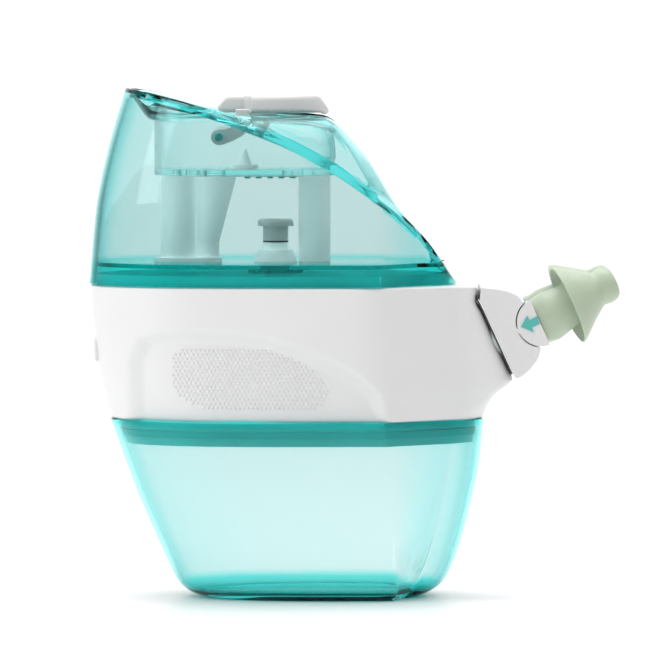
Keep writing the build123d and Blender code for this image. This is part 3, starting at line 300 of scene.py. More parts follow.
def skin(name, rings, cap_first=False, cap_last=False, sharp=40.0):
    """Closed rings of points joined into a tube of quads."""
    n = len(rings[0])
    verts = [p for ring in rings for p in ring]
    faces = []
    for r in range(len(rings) - 1):
        for k in range(n):
            a, b = r * n + k, r * n + (k + 1) % n
            faces.append((a, b, b + n, a + n))
    if cap_first:
        faces.append(tuple(reversed(range(n))))
    if cap_last:
        faces.append(tuple(range((len(rings) - 1) * n, len(rings) * n)))
    obj = make_object(name, verts, faces, sharp)
    fix_normals(obj)
    obj.data.set_sharp_from_angle(angle=radians(sharp))
    return obj


def lifted(points, z):
    """Flat outline placed at a height."""
    return [(p.x, p.y, z) for p in points]


def round_edges(obj, width, segments=3, angle=35.0):
    """Rounds the edges sharper than an angle."""
    mod = obj.modifiers.new("round", "BEVEL")
    mod.width = width * MM
    mod.segments = segments
    mod.limit_method = "ANGLE"
    mod.angle_limit = radians(angle)
    mod.harden_normals = True
    return obj


def prism(name, outline_xz, y_low, y_high, bevel=0.8, segments=3):
    """Side profile extruded across the object, with rounded edges."""
    n = len(outline_xz)
    verts = [(x, y_low, z) for x, z in outline_xz] + [(x, y_high, z) for x, z in outline_xz]
    faces = [tuple(range(n)), tuple(reversed(range(n, 2 * n)))]
    faces += [(k, n + k, n + (k + 1) % n, (k + 1) % n) for k in range(n)]
    obj = make_object(name, verts, faces, 30.0)
    fix_normals(obj)
    if bevel:
        round_edges(obj, bevel, segments)
    return obj


def revolve(name, profile, matrix, steps, oval):
    """Closed profile of (distance along, radius) points turned about an axis.

    oval gives the sideways squeeze at a distance along and a radius.
    """
    verts = []
    for along, radius in profile:
        for k in range(steps):
            a = 2 * pi * k / steps
            squeeze = oval(along, radius)
            verts.append(tuple(matrix @ Vector((radius * cos(a) * squeeze, radius * sin(a), along))))
    faces = []
    rows = len(profile)
    for r in range(rows):
        for k in range(steps):
            a, b = r * steps + k, r * steps + (k + 1) % steps
            c, d = ((r + 1) % rows) * steps + (k + 1) % steps, ((r + 1) % rows) * steps + k
            faces.append((a, b, c, d))
    obj = make_object(name, verts, faces, 50.0)
    fix_normals(obj)
    obj.data.set_sharp_from_angle(angle=radians(50.0))
    return obj


# ---- materials -----------------------------------------------------------------------------
def new_material(name):
    """New material with its nodes, its links and its shader."""
    mat = bpy.data.materials.new(name)
    mat.use_nodes = True
    nodes, links = mat.node_tree.nodes, mat.node_tree.links
    return mat, nodes, links, nodes["Principled BSDF"]


def noise_node(nodes, links, scale, detail=4.0):
    """Noise that stays with the object."""
    coords = nodes.new("ShaderNodeTexCoord")
    noise = nodes.new("ShaderNodeTexNoise")
    noise.inputs["Scale"].default_value = scale
    noise.inputs["Detail"].default_value = detail
    links.new(coords.outputs["Object"], noise.inputs["Vector"])
    return noise


def ramp(nodes, links, source, low, high, colour_low, colour_high):
    """Colour that runs from one to another as the source goes from low to high."""
    node = nodes.new("ShaderNodeValToRGB")
    node.color_ramp.elements[0].position = low
    node.color_ramp.elements[1].position = high
    node.color_ramp.elements[0].color = (*colour_low, 1.0)
    node.color_ramp.elements[1].color = (*colour_high, 1.0)
    links.new(source, node.inputs["Fac"])
    return node


def add_bump(nodes, links, shader, source, strength, distance):
    bump = nodes.new("ShaderNodeBump")
    bump.inputs["Strength"].default_value = strength
    bump.inputs["Distance"].default_value = distance
    links.new(source, bump.inputs["Height"])
    links.new(bump.outputs["Normal"], shader.inputs["Normal"])


def uneven_gloss(nodes, links, shader, source, low, high):
    """Roughness that wanders between two values with a noise."""
    gloss = nodes.new("ShaderNodeMapRange")
    gloss.inputs["To Min"].default_value = low
    gloss.inputs["To Max"].default_value = high
    links.new(source, gloss.inputs["Value"])
    links.new(gloss.outputs["Result"], shader.inputs["Roughness"])


def multiplied(nodes, links, first, second):
    """Product of two colour sockets."""
    mixed = nodes.new("ShaderNodeMix")
    mixed.data_type = "RGBA"
    mixed.blend_type = "MULTIPLY"
    mixed.inputs["Factor"].default_value = 1.0
    links.new(first, mixed.inputs["A"])
    links.new(second, mixed.inputs["B"])
    return mixed.outputs["Result"]


def plastic(
    name, colour, roughness, variation=0.02, grain=900.0, bump=0.04, coat=0.0, scatter=0.0, painted_glow=0.0,
):
    """Moulded plastic: faint colour drift, uneven gloss and a fine mould grain.

    painted_glow is painted light: an emission that makes the piece glow a little, though it is no lamp.
    """
    mat, nodes, links, shader = new_material(name)
    drift = noise_node(nodes, links, 18.0)
    darker = tuple(max(0.0, c - variation) for c in colour)
    tint = ramp(nodes, links, drift.outputs["Fac"], 0.3, 0.7, darker, colour)
    links.new(tint.outputs["Color"], shader.inputs["Base Color"])
    fine = noise_node(nodes, links, grain, 2.0)
    uneven_gloss(nodes, links, shader, drift.outputs["Fac"], roughness - 0.04, roughness + 0.04)
    add_bump(nodes, links, shader, fine.outputs["Fac"], bump, 0.0002)
    shader.inputs["Coat Weight"].default_value = coat
    shader.inputs["Subsurface Weight"].default_value = scatter
    shader.inputs["Subsurface Radius"].default_value = (0.003, 0.003, 0.003)
    # Painted light: a faint emission brightens the piece as if light reached it through the clear tank
    # round it.
    if painted_glow:
        shader.inputs["Emission Color"].default_value = (0.75, 0.95, 0.94, 1.0)
        shader.inputs["Emission Strength"].default_value = painted_glow
    return mat


def clear_plastic(name, tint, edge, bands, density, absorb, roughness=0.02, ior=1.22):
    """Clear tinted plastic whose colour gathers along its edges and in thick bands.

    bands lists heights in millimetres with the tint there.
    """
    mat, nodes, links, shader = new_material(name)
    coords = nodes.new("ShaderNodeTexCoord")
    split = nodes.new("ShaderNodeSeparateXYZ")
    links.new(coords.outputs["Object"], split.inputs["Vector"])
    low, high = bands[0][0], bands[-1][0]
    height = nodes.new("ShaderNodeMapRange")
    height.inputs["From Min"].default_value = low * MM
    height.inputs["From Max"].default_value = high * MM
    links.new(split.outputs["Z"], height.inputs["Value"])
    band = nodes.new("ShaderNodeValToRGB")
    elements = band.color_ramp.elements
    for number, (z, colour) in enumerate(bands):
        at = (z - low) / (high - low)
        if number == 0:
            element = elements[0]
        elif number == len(bands) - 1:
            element = elements[len(elements) - 1]
        else:
            element = elements.new(at)
        element.position = at
        element.color = (*colour, 1.0)
    links.new(height.outputs["Result"], band.inputs["Fac"])
    glance = nodes.new("ShaderNodeLayerWeight")
    glance.inputs["Blend"].default_value = 0.5
    turned = ramp(nodes, links, glance.outputs["Facing"], 0.48, 0.93, tint, edge)
    mixed = multiplied(nodes, links, turned.outputs["Color"], band.outputs["Color"])
    links.new(mixed, shader.inputs["Base Color"])
    drift = noise_node(nodes, links, 14.0)
    uneven_gloss(nodes, links, shader, drift.outputs["Fac"], roughness, roughness + 0.02)
    shader.inputs["Transmission Weight"].default_value = 1.0
    shader.inputs["IOR"].default_value = ior
    wavy = noise_node(nodes, links, 55.0, 1.0)
    add_bump(nodes, links, shader, wavy.outputs["Fac"], 0.04, 0.0003)
    volume = nodes.new("ShaderNodeVolumeAbsorption")
    volume.inputs["Color"].default_value = (*absorb, 1.0)
    volume.inputs["Density"].default_value = density
    links.new(volume.outputs["Volume"], nodes["Material Output"].inputs["Volume"])
    return mat


def silicone(name, colour):
    """Soft translucent silicone: light scatters inside and the skin is satin."""
    mat, nodes, links, shader = new_material(name)
    drift = noise_node(nodes, links, 60.0)
    darker = tuple(c * 0.94 for c in colour)
    tint = ramp(nodes, links, drift.outputs["Fac"], 0.3, 0.7, darker, colour)
    links.new(tint.outputs["Color"], shader.inputs["Base Color"])
    shader.inputs["Subsurface Weight"].default_value = 0.7
    shader.inputs["Subsurface Radius"].default_value = (0.006, 0.007, 0.005)
    shader.inputs["Roughness"].default_value = 0.34
    shader.inputs["Transmission Weight"].default_value = 0.18
    shader.inputs["IOR"].default_value = 1.41
    fine = noise_node(nodes, links, 700.0, 2.0)
    add_bump(nodes, links, shader, fine.outputs["Fac"], 0.05, 0.0002)
    return mat


def metal(name, colour, roughness):
    """Bare metal with brushing too fine to see singly."""
    mat, nodes, links, shader = new_material(name)
    brushed = noise_node(nodes, links, 240.0, 6.0)
    tint = ramp(nodes, links, brushed.outputs["Fac"], 0.3, 0.7, tuple(c * 0.85 for c in colour), colour)
    links.new(tint.outputs["Color"], shader.inputs["Base Color"])
    shader.inputs["Metallic"].default_value = 1.0
    shader.inputs["Roughness"].default_value = roughness
    add_bump(nodes, links, shader, brushed.outputs["Fac"], 0.08, 0.0002)
    return mat


CLEAR, PALE, TEAL = (1.0, 1.0, 1.0), (0.70, 0.95, 0.94), (0.20, 0.90, 0.88)
TANK_BANDS = (
    (-1, TEAL), (4.5, TEAL), (7.5, CLEAR), (58, CLEAR), (62, PALE), (66, PALE), (67, TEAL),
    (121, TEAL), (128, TEAL), (130.5, CLEAR), (200, CLEAR),
)
NO_BANDS = ((0, CLEAR), (100, CLEAR), (200, CLEAR))
aqua = clear_plastic(
    "aqua_clear", (0.89, 0.826, 0.822), (0.18, 0.72, 0.72), TANK_BANDS, 110.0, (0.03, 0.94, 0.94))
aqua_deep = clear_plastic(
    "aqua_deep", (0.22, 0.92, 0.92), (0.04, 0.80, 0.82), NO_BANDS, 30.0, (0.05, 0.94, 0.94))
aqua_chamber = clear_plastic(
    "aqua_chamber", (0.98, 1.0, 1.0), (0.62, 0.93, 0.93), NO_BANDS, 14.0, (0.1, 0.94, 0.93), 0.2, 1.12)
white_shell = plastic("white_shell", (0.70, 0.70, 0.70), 0.42, coat=0.05, scatter=0.05)
white_gloss = plastic("white_gloss", (0.68, 0.67, 0.67), 0.28, coat=0.25, scatter=0.08)
# Painted light: the frosted pieces glow a little so that they stay bright inside the shaded tank.
frosted = plastic("frosted_white", (0.96, 0.98, 0.98), 0.45, scatter=0.15, painted_glow=0.16)
grey_deck = plastic("grey_deck", (0.82, 0.88, 0.88), 0.45)
dark_tray = plastic("dark_tray", (0.10, 0.42, 0.43), 0.4)
teal_print = plastic("teal_print", (0.09, 0.43, 0.39), 0.4)
# Near-black rubber for the seals, also used on the painted shade sheet in the dock's joint.
seal_rubber_and_gap_shade = plastic("rubber_seal", (0.05, 0.055, 0.06), 0.6, 0.01, 500.0, 0.1)
black_part = plastic("black_part", (0.03, 0.03, 0.035), 0.35, 0.01)
hose_soft = plastic("hose_clear", (0.70, 0.76, 0.76), 0.35, scatter=0.3)
board_green = plastic("board", (0.03, 0.20, 0.09), 0.4, 0.02)
battery_skin = plastic("battery_skin", (0.05, 0.06, 0.08), 0.25, 0.02)
cover_teal = plastic("cover_teal", (0.16, 0.74, 0.72), 0.35, scatter=0.2)
gasket_teal = plastic("gasket_teal", (0.08, 0.62, 0.60), 0.5, 0.01)
steel = metal("steel", (0.62, 0.63, 0.65), 0.32)
sage = silicone("silicone_sage", (0.53, 0.62, 0.48))

SLOT_MATERIALS = {
    "aqua_clear": aqua, "white_shell": white_shell, "white_gloss": white_gloss, "frosted_white": frosted,
    "silicone_sage": sage, "teal_print": teal_print, "grey_deck": grey_deck, "dark_tray": dark_tray,
    "rubber_seal": seal_rubber_and_gap_shade, "hose_clear": hose_soft, "steel": steel, "battery_skin": battery_skin,
    "board": board_green, "black_part": black_part,
}
# CAD nodes that look different from the rest of their slot.
NODE_MATERIALS = {
    "pod_chamber": aqua_chamber, "hinge_pins": cover_teal, "bottom_cover": cover_teal,
    "tank_gasket": gasket_teal, "drain_spout": cover_teal, "suction_port": cover_teal,
}


def finish_piece(obj, body, slot, material, *nodes):
    """Gives a piece its material and its body, and hides the CAD nodes it stands for; slot is not used."""
    obj.data.materials.clear()
    obj.data.materials.append(material)
    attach(obj, body)
    if nodes:
        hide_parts(*nodes)
    return obj


def dress_cad_nodes():
    """Carried-over CAD nodes take the material of their slot."""
    for entry in frame["record"]["subparts"]:
        obj = frame["nodes"][entry["node"]]
        obj.data.materials.clear()
        obj.data.materials.append(NODE_MATERIALS.get(entry["node"], SLOT_MATERIALS[entry["material_slot"]]))


# ---- catch tank ----------------------------------------------------------------------------
TANK_FOOT_X = -17.0
FOOT_TOP_Z = 0.9  # the underside is hollow by this much, so that the tank stands on a ring
CATCH_FLOOR_Z = 2.6
WALL_LEVELS = [LOWER_TOP_Z - 1.6 * k for k in range(36)]


def tank_rings(levels, inset=0.0):
    """Catch tank's wall at each of several heights."""
    return [lifted(tank_row(LOWER_ROWS, z, inset), z) for z in levels]


def shrunk(points, scales_and_heights):
    """Copies of an outline drawn in towards the middle of the foot, one for each scale and height."""
    centre = Vector((TANK_FOOT_X, 0.0))
    return [lifted([centre.lerp(p, scale) for p in points], z) for scale, z in scales_and_heights]


def ring_faces(first, second, n, flip):
    """Quads between two rings of n points, by their numbers."""
    faces = []
    for k in range(n):
        quad = (first * n + k, first * n + (k + 1) % n, second * n + (k + 1) % n, second * n + k)
        faces.append(tuple(reversed(quad)) if flip else quad)
    return faces


def catch_tank():
    """Open tank: outer skin from the top edge to the underside, then the inner skin down to the floor."""
    outer = tank_rings(WALL_LEVELS)
    outer += tank_rings((10.0, 7.6, 5.8, 4.2, 3.0, 2.0, 1.2, 0.6, 0.25, 0.0))
    base = tank_row(LOWER_ROWS, 0.0)
    outer += shrunk(base, ((0.98, 0.0), (0.95, 0.1), (0.93, 0.6)))
    outer += shrunk(base, [(scale, FOOT_TOP_Z) for scale in (0.91, 0.7, 0.4, 0.05)])
    inner = tank_rings(WALL_LEVELS, TANK_WALL)
    inner += tank_rings((10.0, 7.6, 5.8, 4.6), TANK_WALL)
    inner += tank_rings((3.6,), TANK_WALL + 0.5) + tank_rings((2.9,), TANK_WALL + 1.4)
    flat = tank_row(LOWER_ROWS, CATCH_FLOOR_Z, TANK_WALL + 2.6)
    inner += shrunk(flat, [(scale, CATCH_FLOOR_Z) for scale in (1.0, 0.8, 0.6, 0.4, 0.2, 0.05)])
    n, out, last = AROUND, len(outer), len(outer) + len(inner) - 1
    faces = []
    for r in range(out - 1):
        faces += ring_faces(r, r + 1, n, True)
    faces.append(tuple(range((out - 1) * n, out * n)))
    for r in range(out, last):
        faces += ring_faces(r, r + 1, n, False)
    faces.append(tuple(reversed(range(last * n, (last + 1) * n))))
    faces += ring_faces(0, out, n, False)
    obj = make_object("catch_tank", [p for ring in outer + inner for p in ring], faces, 50)
    fix_normals(obj)
    return finish_piece(obj, "catch_tank", "aqua_clear", aqua, "lower_tank")


# ---- body ----------------------------------------------------------------------------------
def grip_inset(x, y, z):
    """How far a finger grip presses in at a place on the side."""
    if abs(y) < GRIP_MIN_HALF:
        return 0.0
    return GRIP_DEPTH * smoothstep(-GRIP_LIP / 2, GRIP_LIP / 2, inside_distance(x, z, GRIP))


def pushed_in(ring, z):
    """Ring with the finger grips pressed into both sides."""
    out = []
    n = len(ring)
    centre = Vector((-25.0, 0.0))
    for k, p in enumerate(ring):
        along = ring[(k + 1) % n] - ring[k - 1]
        inward = Vector((-along.y, along.x)).normalized()
        if inward.dot(centre - p) < 0:
            inward = -inward
        out.append(p + inward * grip_inset(p.x, p.y, z))
    return out


BODY_EDGE = 0.9  # radius round the body's top and bottom edges
BODY_WALL = 2.3


def rounded_ring(inner, outer, degrees, end_z, inwards):
    """Ring of points part of the way round a body edge of radius BODY_EDGE."""
    a = radians(degrees)
    ring = [i.lerp(o, sin(a)) for i, o in zip(inner, outer)]
    return lifted(ring, end_z + inwards * BODY_EDGE * (1 - cos(a)))


def body_rings():
    """Body skin from inside its bottom edge up the outside to inside its top edge."""
    rings = []
    low_end, high_end = BODY_BASE_Z + BODY_EDGE, BODY_TOP_Z - BODY_EDGE
    steps = [BODY_BASE_Z + 1.6 + 0.75 * k for k in range(66)]
    levels = [low_end] + [z for z in steps if z < high_end] + [high_end]
    inner_base = pushed_in(shell_row(plan(row_at(BODY_ROWS, BODY_BASE_Z), BODY_WALL)), BODY_BASE_Z)
    rings.append(lifted(inner_base, BODY_BASE_Z + 3.0))
    rings.append(lifted(inner_base, BODY_BASE_Z + 0.4))
    outer = pushed_in(body_outline(BODY_BASE_Z), BODY_BASE_Z)
    inner = pushed_in(body_outline(BODY_BASE_Z, BODY_EDGE), BODY_BASE_Z)
    rings += [rounded_ring(inner, outer, degrees, BODY_BASE_Z, 1) for degrees in (10, 40, 70)]
    rings += [lifted(pushed_in(body_outline(z), z), z) for z in levels]
    outer, inner = body_outline(BODY_TOP_Z), body_outline(BODY_TOP_Z, BODY_EDGE)
    rings += [rounded_ring(inner, outer, degrees, BODY_TOP_Z, -1) for degrees in (70, 40, 10)]
    inner_top = shell_row(plan(row_at(BODY_ROWS, BODY_TOP_Z), BODY_WALL + 0.05))
    rings.append(lifted(inner_top, BODY_TOP_Z))
    rings.append(lifted(inner_top, BODY_TOP_Z - 3.0))
    return rings


def body_shell():
    """White body with its chin and finger grips."""
    obj = skin("body_shell", body_rings(), sharp=35)
    return finish_piece(obj, "powered_body", "white_shell", white_shell, "body_casing")


def side_reach(ring, x):
    """Half width of a ring where it crosses a distance along X."""
    best = 0.0
    n = len(ring)
    for k in range(n):
        a, b = ring[k], ring[(k + 1) % n]
        if (a.x - x) * (b.x - x) <= 0 and a.x != b.x:
            best = max(best, abs(a.y + (b.y - a.y) * (x - a.x) / (b.x - a.x)))
    return best


DOT_PITCH_X, DOT_PITCH_Z, DOT_R, DOT_HIGH = 1.67, 1.55, 0.62, 0.42
DOT_SIDES = 10
DOT_RINGS = ((DOT_R, -0.15), (DOT_R * 0.86, DOT_HIGH * 0.5), (DOT_R * 0.5, DOT_HIGH * 0.87))
DOTS_LOW_Z, DOTS_HIGH_Z, DOTS_BACK_X, DOTS_FRONT_X = 72.9, 97.2, -69.2, -8.0


def add_dot(verts, faces, x, z, reach, side):
    """One raised dot on a side of the body, reach away from the middle."""
    start = len(verts)
    for radius, high in DOT_RINGS:
        for k in range(DOT_SIDES):
            a = 2 * pi * k / DOT_SIDES
            verts.append((x + radius * cos(a), side * (reach + high), z + radius * sin(a)))
    verts.append((x, side * (reach + DOT_HIGH), z))
    for level in range(2):
        low = start + level * DOT_SIDES
        for k in range(DOT_SIDES):
            a, b = low + k, low + (k + 1) % DOT_SIDES
            faces.append((a, b, b + DOT_SIDES, a + DOT_SIDES))
    last = start + 2 * DOT_SIDES
    faces += [(last + k, last + (k + 1) % DOT_SIDES, last + DOT_SIDES) for k in range(DOT_SIDES)]
    faces.append(tuple(range(start, start + DOT_SIDES)))


def grip_dots():
    """Staggered raised dots on both finger grips."""
    verts, faces = [], []
    row = 0
    z = DOTS_LOW_Z
    while z < DOTS_HIGH_Z:
        ring = pushed_in(body_outline(z), z)
        x = DOTS_BACK_X + (DOT_PITCH_X / 2 if row % 2 else 0)
        while x < DOTS_FRONT_X:
            if inside_distance(x, z, DOT_AREA) > 0:
                reach = side_reach(ring, x)
                for side in (-1, 1):
                    add_dot(verts, faces, x, z, reach, side)
            x += DOT_PITCH_X
        z += DOT_PITCH_Z
        row += 1
    obj = make_object("grip_dots", verts, faces, 70)
    fix_normals(obj)
    return finish_piece(obj, "powered_body", "white_shell", white_shell)


# ---- saline tank ---------------------------------------------------------------------------
def wall_at(cache, k, z):
    """Point k of the wall at a height, from rows kept one millimetre apart."""
    at = min(len(cache) - 1.001, max(0.0, z - UPPER_BASE_Z))
    low = int(at)
    return cache[low][k].lerp(cache[low + 1][k], at - low)


TANK_ROWS_HIGH = 80
CHAMBER_GAP = 0.05


def wall_cache(inset):
    """Rows of the saline tank's wall, one millimetre apart."""
    return [tank_row(UPPER_ROWS, UPPER_BASE_Z + k, inset) for k in range(TANK_ROWS_HIGH)]


def rim_points(cache, drop):
    """Where the wall meets the top surface all round, with the height there."""
    rims = []
    for k in range(AROUND):
        z = 160.0
        for _ in range(24):
            p = wall_at(cache, k, z)
            z = 0.5 * z + 0.5 * max(UPPER_BASE_Z + 1.5, rim_height(p.x) - drop)
        rims.append((wall_at(cache, k, z), z))
    return rims


def top_point(rim, t):
    """Point on the tank's top, from the rim at t = 0 to the chamber's edge at t = 1."""
    hole = Vector((CHAMBER_X, 0.0))
    edge = hole + (rim - hole).normalized() * (CHAMBER_R + CHAMBER_GAP)
    q = rim.lerp(edge, t)
    return q.x, q.y, middle_height(q.x) + (rim_height(rim.x) - middle_height(rim.x)) * (1 - t) ** 2


WALL_STEPS, TOP_STEPS = 30, 18


def tank_surface(inset, bend):
    """Wall from its foot up, over the rim rounded by bend and across the top to the chamber."""
    drop, base_z = inset, UPPER_BASE_Z
    cache = wall_cache(inset)
    rims = rim_points(cache, drop)
    hole = Vector((CHAMBER_X, 0.0))
    starts = [bend / ((p - hole).length - CHAMBER_R) for p, _ in rims]
    feet = [z - min(bend, 0.4 * (z - base_z)) for _, z in rims]
    rings = []
    for v in range(WALL_STEPS + 1):
        ring = []
        for k in range(AROUND):
            z = base_z + (feet[k] - base_z) * v / WALL_STEPS
            p = wall_at(cache, k, z)
            ring.append((p.x, p.y, z))
        rings.append(ring)
    last = rings[-1]
    for t in (0.2, 0.4, 0.6, 0.8, 1.0):
        ring = []
        for k in range(AROUND):
            p, z = rims[k]
            x, y, top = top_point(p, starts[k])
            lip = Vector((x, y, max(base_z + 1, top - drop)))
            corner = Vector((p.x, p.y, z))
            ring.append(tuple(Vector(last[k]) * (1 - t) ** 2 + corner * 2 * t * (1 - t) + lip * t * t))
        rings.append(ring)
    for v in range(1, TOP_STEPS + 1):
        ring = []
        for k in range(AROUND):
            x, y, top = top_point(rims[k][0], starts[k] + (1 - starts[k]) * v / TOP_STEPS)
            ring.append((x, y, max(base_z + 1, top - drop)))
        rings.append(ring)
    return rings


def saline_tank():
    """Clear upper shell: outer surface, then the inner one back down to the foot."""
    outer = tank_surface(0.0, 1.6)
    inner = tank_surface(TANK_WALL, 0.8)
    obj = skin("saline_tank", outer + list(reversed(inner)) + [outer[0]], sharp=50)
    return finish_piece(obj, "saline_tank", "aqua_clear", aqua, "upper_tank_shell")


BEAD_SIZE = 1.8


def rim_bead():
    """Thick corner of the tank where its wall turns into the top."""
    drop = TANK_WALL + 0.05
    cache = wall_cache(drop)
    rims = rim_points(cache, drop)
    hole = Vector((CHAMBER_X, 0.0))
    rings = [[], [], [], []]
    for p, z in rims:
        k = len(rings[0])
        room = (p - hole).length - CHAMBER_R
        low = wall_at(cache, k, z - BEAD_SIZE)
        x, y, top = top_point(p, BEAD_SIZE / room)
        rings[0].append((p.x, p.y, z))
        rings[1].append((low.x, low.y, max(z - BEAD_SIZE, TANK_FLOOR_Z + 0.1)))
        mid = p.lerp(Vector((x, y)), 0.4)
        rings[2].append((mid.x, mid.y, max(z - BEAD_SIZE / 2, TANK_FLOOR_Z + 0.2)))
        rings[3].append((x, y, max(top - drop, TANK_FLOOR_Z + 0.3)))
    obj = skin("rim_bead", rings + [rings[0]], sharp=50)
    return finish_piece(obj, "saline_tank", "aqua_clear", aqua_deep)


FLOOR_THICK = 1.6


def tank_floor():
    """Clear plate across the inside of the saline tank."""
    outline = tank_row(UPPER_ROWS, TANK_FLOOR_Z, TANK_WALL + 0.05)
    rings = [lifted(outline, TANK_FLOOR_Z - FLOOR_THICK), lifted(outline, TANK_FLOOR_Z)]
    obj = skin("tank_floor", rings, cap_first=True, cap_last=True, sharp=30)
    return finish_piece(obj, "saline_tank", "aqua_clear", aqua)


# ---- nose end ------------------------------------------------------------------------------
def arc(cx, cz, radius, start, end, steps):
    """Points on an arc from one angle to another, in degrees."""
    turns = [radians(start + (end - start) * k / steps) for k in range(steps + 1)]
    return [(cx + radius * cos(a), cz + radius * sin(a)) for a in turns]


DOCK_GAP = 0.7
DOCK_BACK = ((47.4, 114.6), (49.7, 110.2), (61.2, 84.9))
DOCK_EDGE = 1.9
SOCKET_GAP = 0.45
# Painted shade sheet in the dock's joint: how far it reaches behind and in front of the joint, and how far
# in from the sides.
SHADE_SHEET_BACK, SHADE_SHEET_FRONT, SHADE_SHEET_INSET = 0.4, 0.35, 2.2


def dock_profile():
    """Side outline of the dock."""
    lower = curve_through([(62.6, 84.9), (64.6, 85.9), (67.9, 88.9), (70.4, 92.4), (71.6, 96.4)], 4)
    socket = arc(SWIVEL_X, SWIVEL_Z, SWIVEL_R + SOCKET_GAP, 262, 129, 24)
    upper = curve_through([(64.2, 114.4), (62.6, 116.4), (59.2, 118.0), (54.6, 119.0), (48.7, 119.5)], 4)
    back = [(x + DOCK_GAP, z) for x, z in DOCK_BACK]
    return [(p.x, p.y) for p in lower] + socket + [(p.x, p.y) for p in upper] + back


def nose_dock():
    """Dock, and a dark sheet in the joint between it and the body that paints the shade in that gap."""
    obj = prism("nose_dock_shell", dock_profile(), -NOSE_HALF, NOSE_HALF, DOCK_EDGE, 5)
    finish_piece(obj, "dock", "white_gloss", white_gloss, "nose_dock")
    # Painted shade: a thin dark sheet fills the gap between the body and the dock, standing in for the
    # shade inside the joint.
    front = ((47.7, 116.8), (47.4, 114.6), (49.7, 110.2), (60.6, 86.4))
    shade_sheet = [(x - SHADE_SHEET_BACK, z) for x, z in front]
    shade_sheet += [(x + SHADE_SHEET_FRONT, z) for x, z in reversed(front)]
    half = NOSE_HALF - SHADE_SHEET_INSET
    face = prism("dock_gap_shade", shade_sheet, -half, half, 0)
    finish_piece(face, "powered_body", "rubber_seal", seal_rubber_and_gap_shade)


NOSE_U = Vector((cos(radians(NOSE_TILT)), 0.0, sin(radians(NOSE_TILT))))
PILLOW_SEAT = -2.2  # along the nose axis from the swivel's middle


def pillow_matrix(side):
    """Place of a pillow: its own Z runs along its bore, turned in towards the middle."""
    turn = radians(TOE_IN)
    axis = NOSE_U * cos(turn) + Vector((0, -side * sin(turn), 0))
    across = Vector((0, cos(turn), 0)) + NOSE_U * (side * sin(turn))
    up = axis.cross(across)
    matrix = Matrix((across, up, axis)).transposed().to_4x4()
    matrix.translation = Vector((SWIVEL_X, side * PILLOW_Y, SWIVEL_Z)) + NOSE_U * PILLOW_SEAT
    return matrix


# Pillow: distance along and radius, from the foot over the flange to the tip, then back down the bore.
PILLOW_OUTSIDE = (
    (0.4, 8.3), (0.7, 8.75), (3.0, 9.15), (5.8, 9.55), (9.0, 9.2), (12.6, 8.6), (15.4, 8.6), (16.2, 9.6),
    (15.6, 12.0), (14.3, 14.5), (14.0, 15.2), (14.5, 15.4), (15.8, 14.8), (18.6, 12.7), (21.6, 10.5),
    (24.2, 8.7), (26.0, 7.4), (27.4, 6.8), (29.0, 6.9), (30.8, 7.0), (32.6, 6.6), (34.0, 5.6), (34.4, 4.7),
)
PILLOW_BORE = ((34.5, 3.6), (34.0, 3.1), (30.0, 3.1), (24.0, 4.4), (14.0, 4.4), (11.2, 4.05), (0.4, 4.05))
PILLOW_LEAN = Vector((-0.7, 0.0, 1.9))
PILLOW_SIDES = 96


def pillow(side, name, node, body):
    """Soft nose pillow with a hollow oval flange, leaning up a little towards its tip."""
    outside = [(p.x, p.y) for p in curve_through(PILLOW_OUTSIDE, 3)]

    def oval(along, radius):
        return 1.0 - 0.17 * smoothstep(9.0, 13.5, radius) * smoothstep(12.6, 13.4, along)

    matrix = pillow_matrix(side)
    obj = revolve(name, outside + list(PILLOW_BORE), matrix, PILLOW_SIDES, oval)
    for vert in obj.data.vertices:
        along = (vert.co / MM - matrix.translation).dot(NOSE_U)
        vert.co += PILLOW_LEAN * (MM * smoothstep(2.0, 26.0, along))
    return finish_piece(obj, body, "silicone_sage", sage, node)


# ---- lever lid -----------------------------------------------------------------------------
def rounded_section(half, low, high, corner, steps=5):
    """Section of the lid across the object, with rounded corners."""
    points = []
    corner = min(corner, (high - low) / 2.01, half / 2.01)
    centres = ((half - corner, high - corner, 0), (corner - half, high - corner, 90),
               (corner - half, low + corner, 180), (half - corner, low + corner, 270))
    for cy, cz, start in centres:
        for k in range(steps + 1):
            a = radians(start + 90 * k / steps)
            points.append((cy + corner * cos(a), cz + corner * sin(a)))
    return points


LID_LOW_Z, LID_TOP_Z, LID_R = 185.9, 192.7, 33.4
LID_NECK_HALF = 17.4
LID_BACK_X, LID_FRONT_X = -51.7, -9.3


def lid_half(x):
    """Half width of the lid: a narrow neck behind, then the round part over the chamber."""
    round_part = max(0.0, LID_R ** 2 - (x - CHAMBER_X) ** 2) ** 0.5
    return LID_NECK_HALF + (round_part - LID_NECK_HALF) * smoothstep(-41.6, -38.6, x)


ARM_INNER, ARM_OUTER = 24.0, 27.0


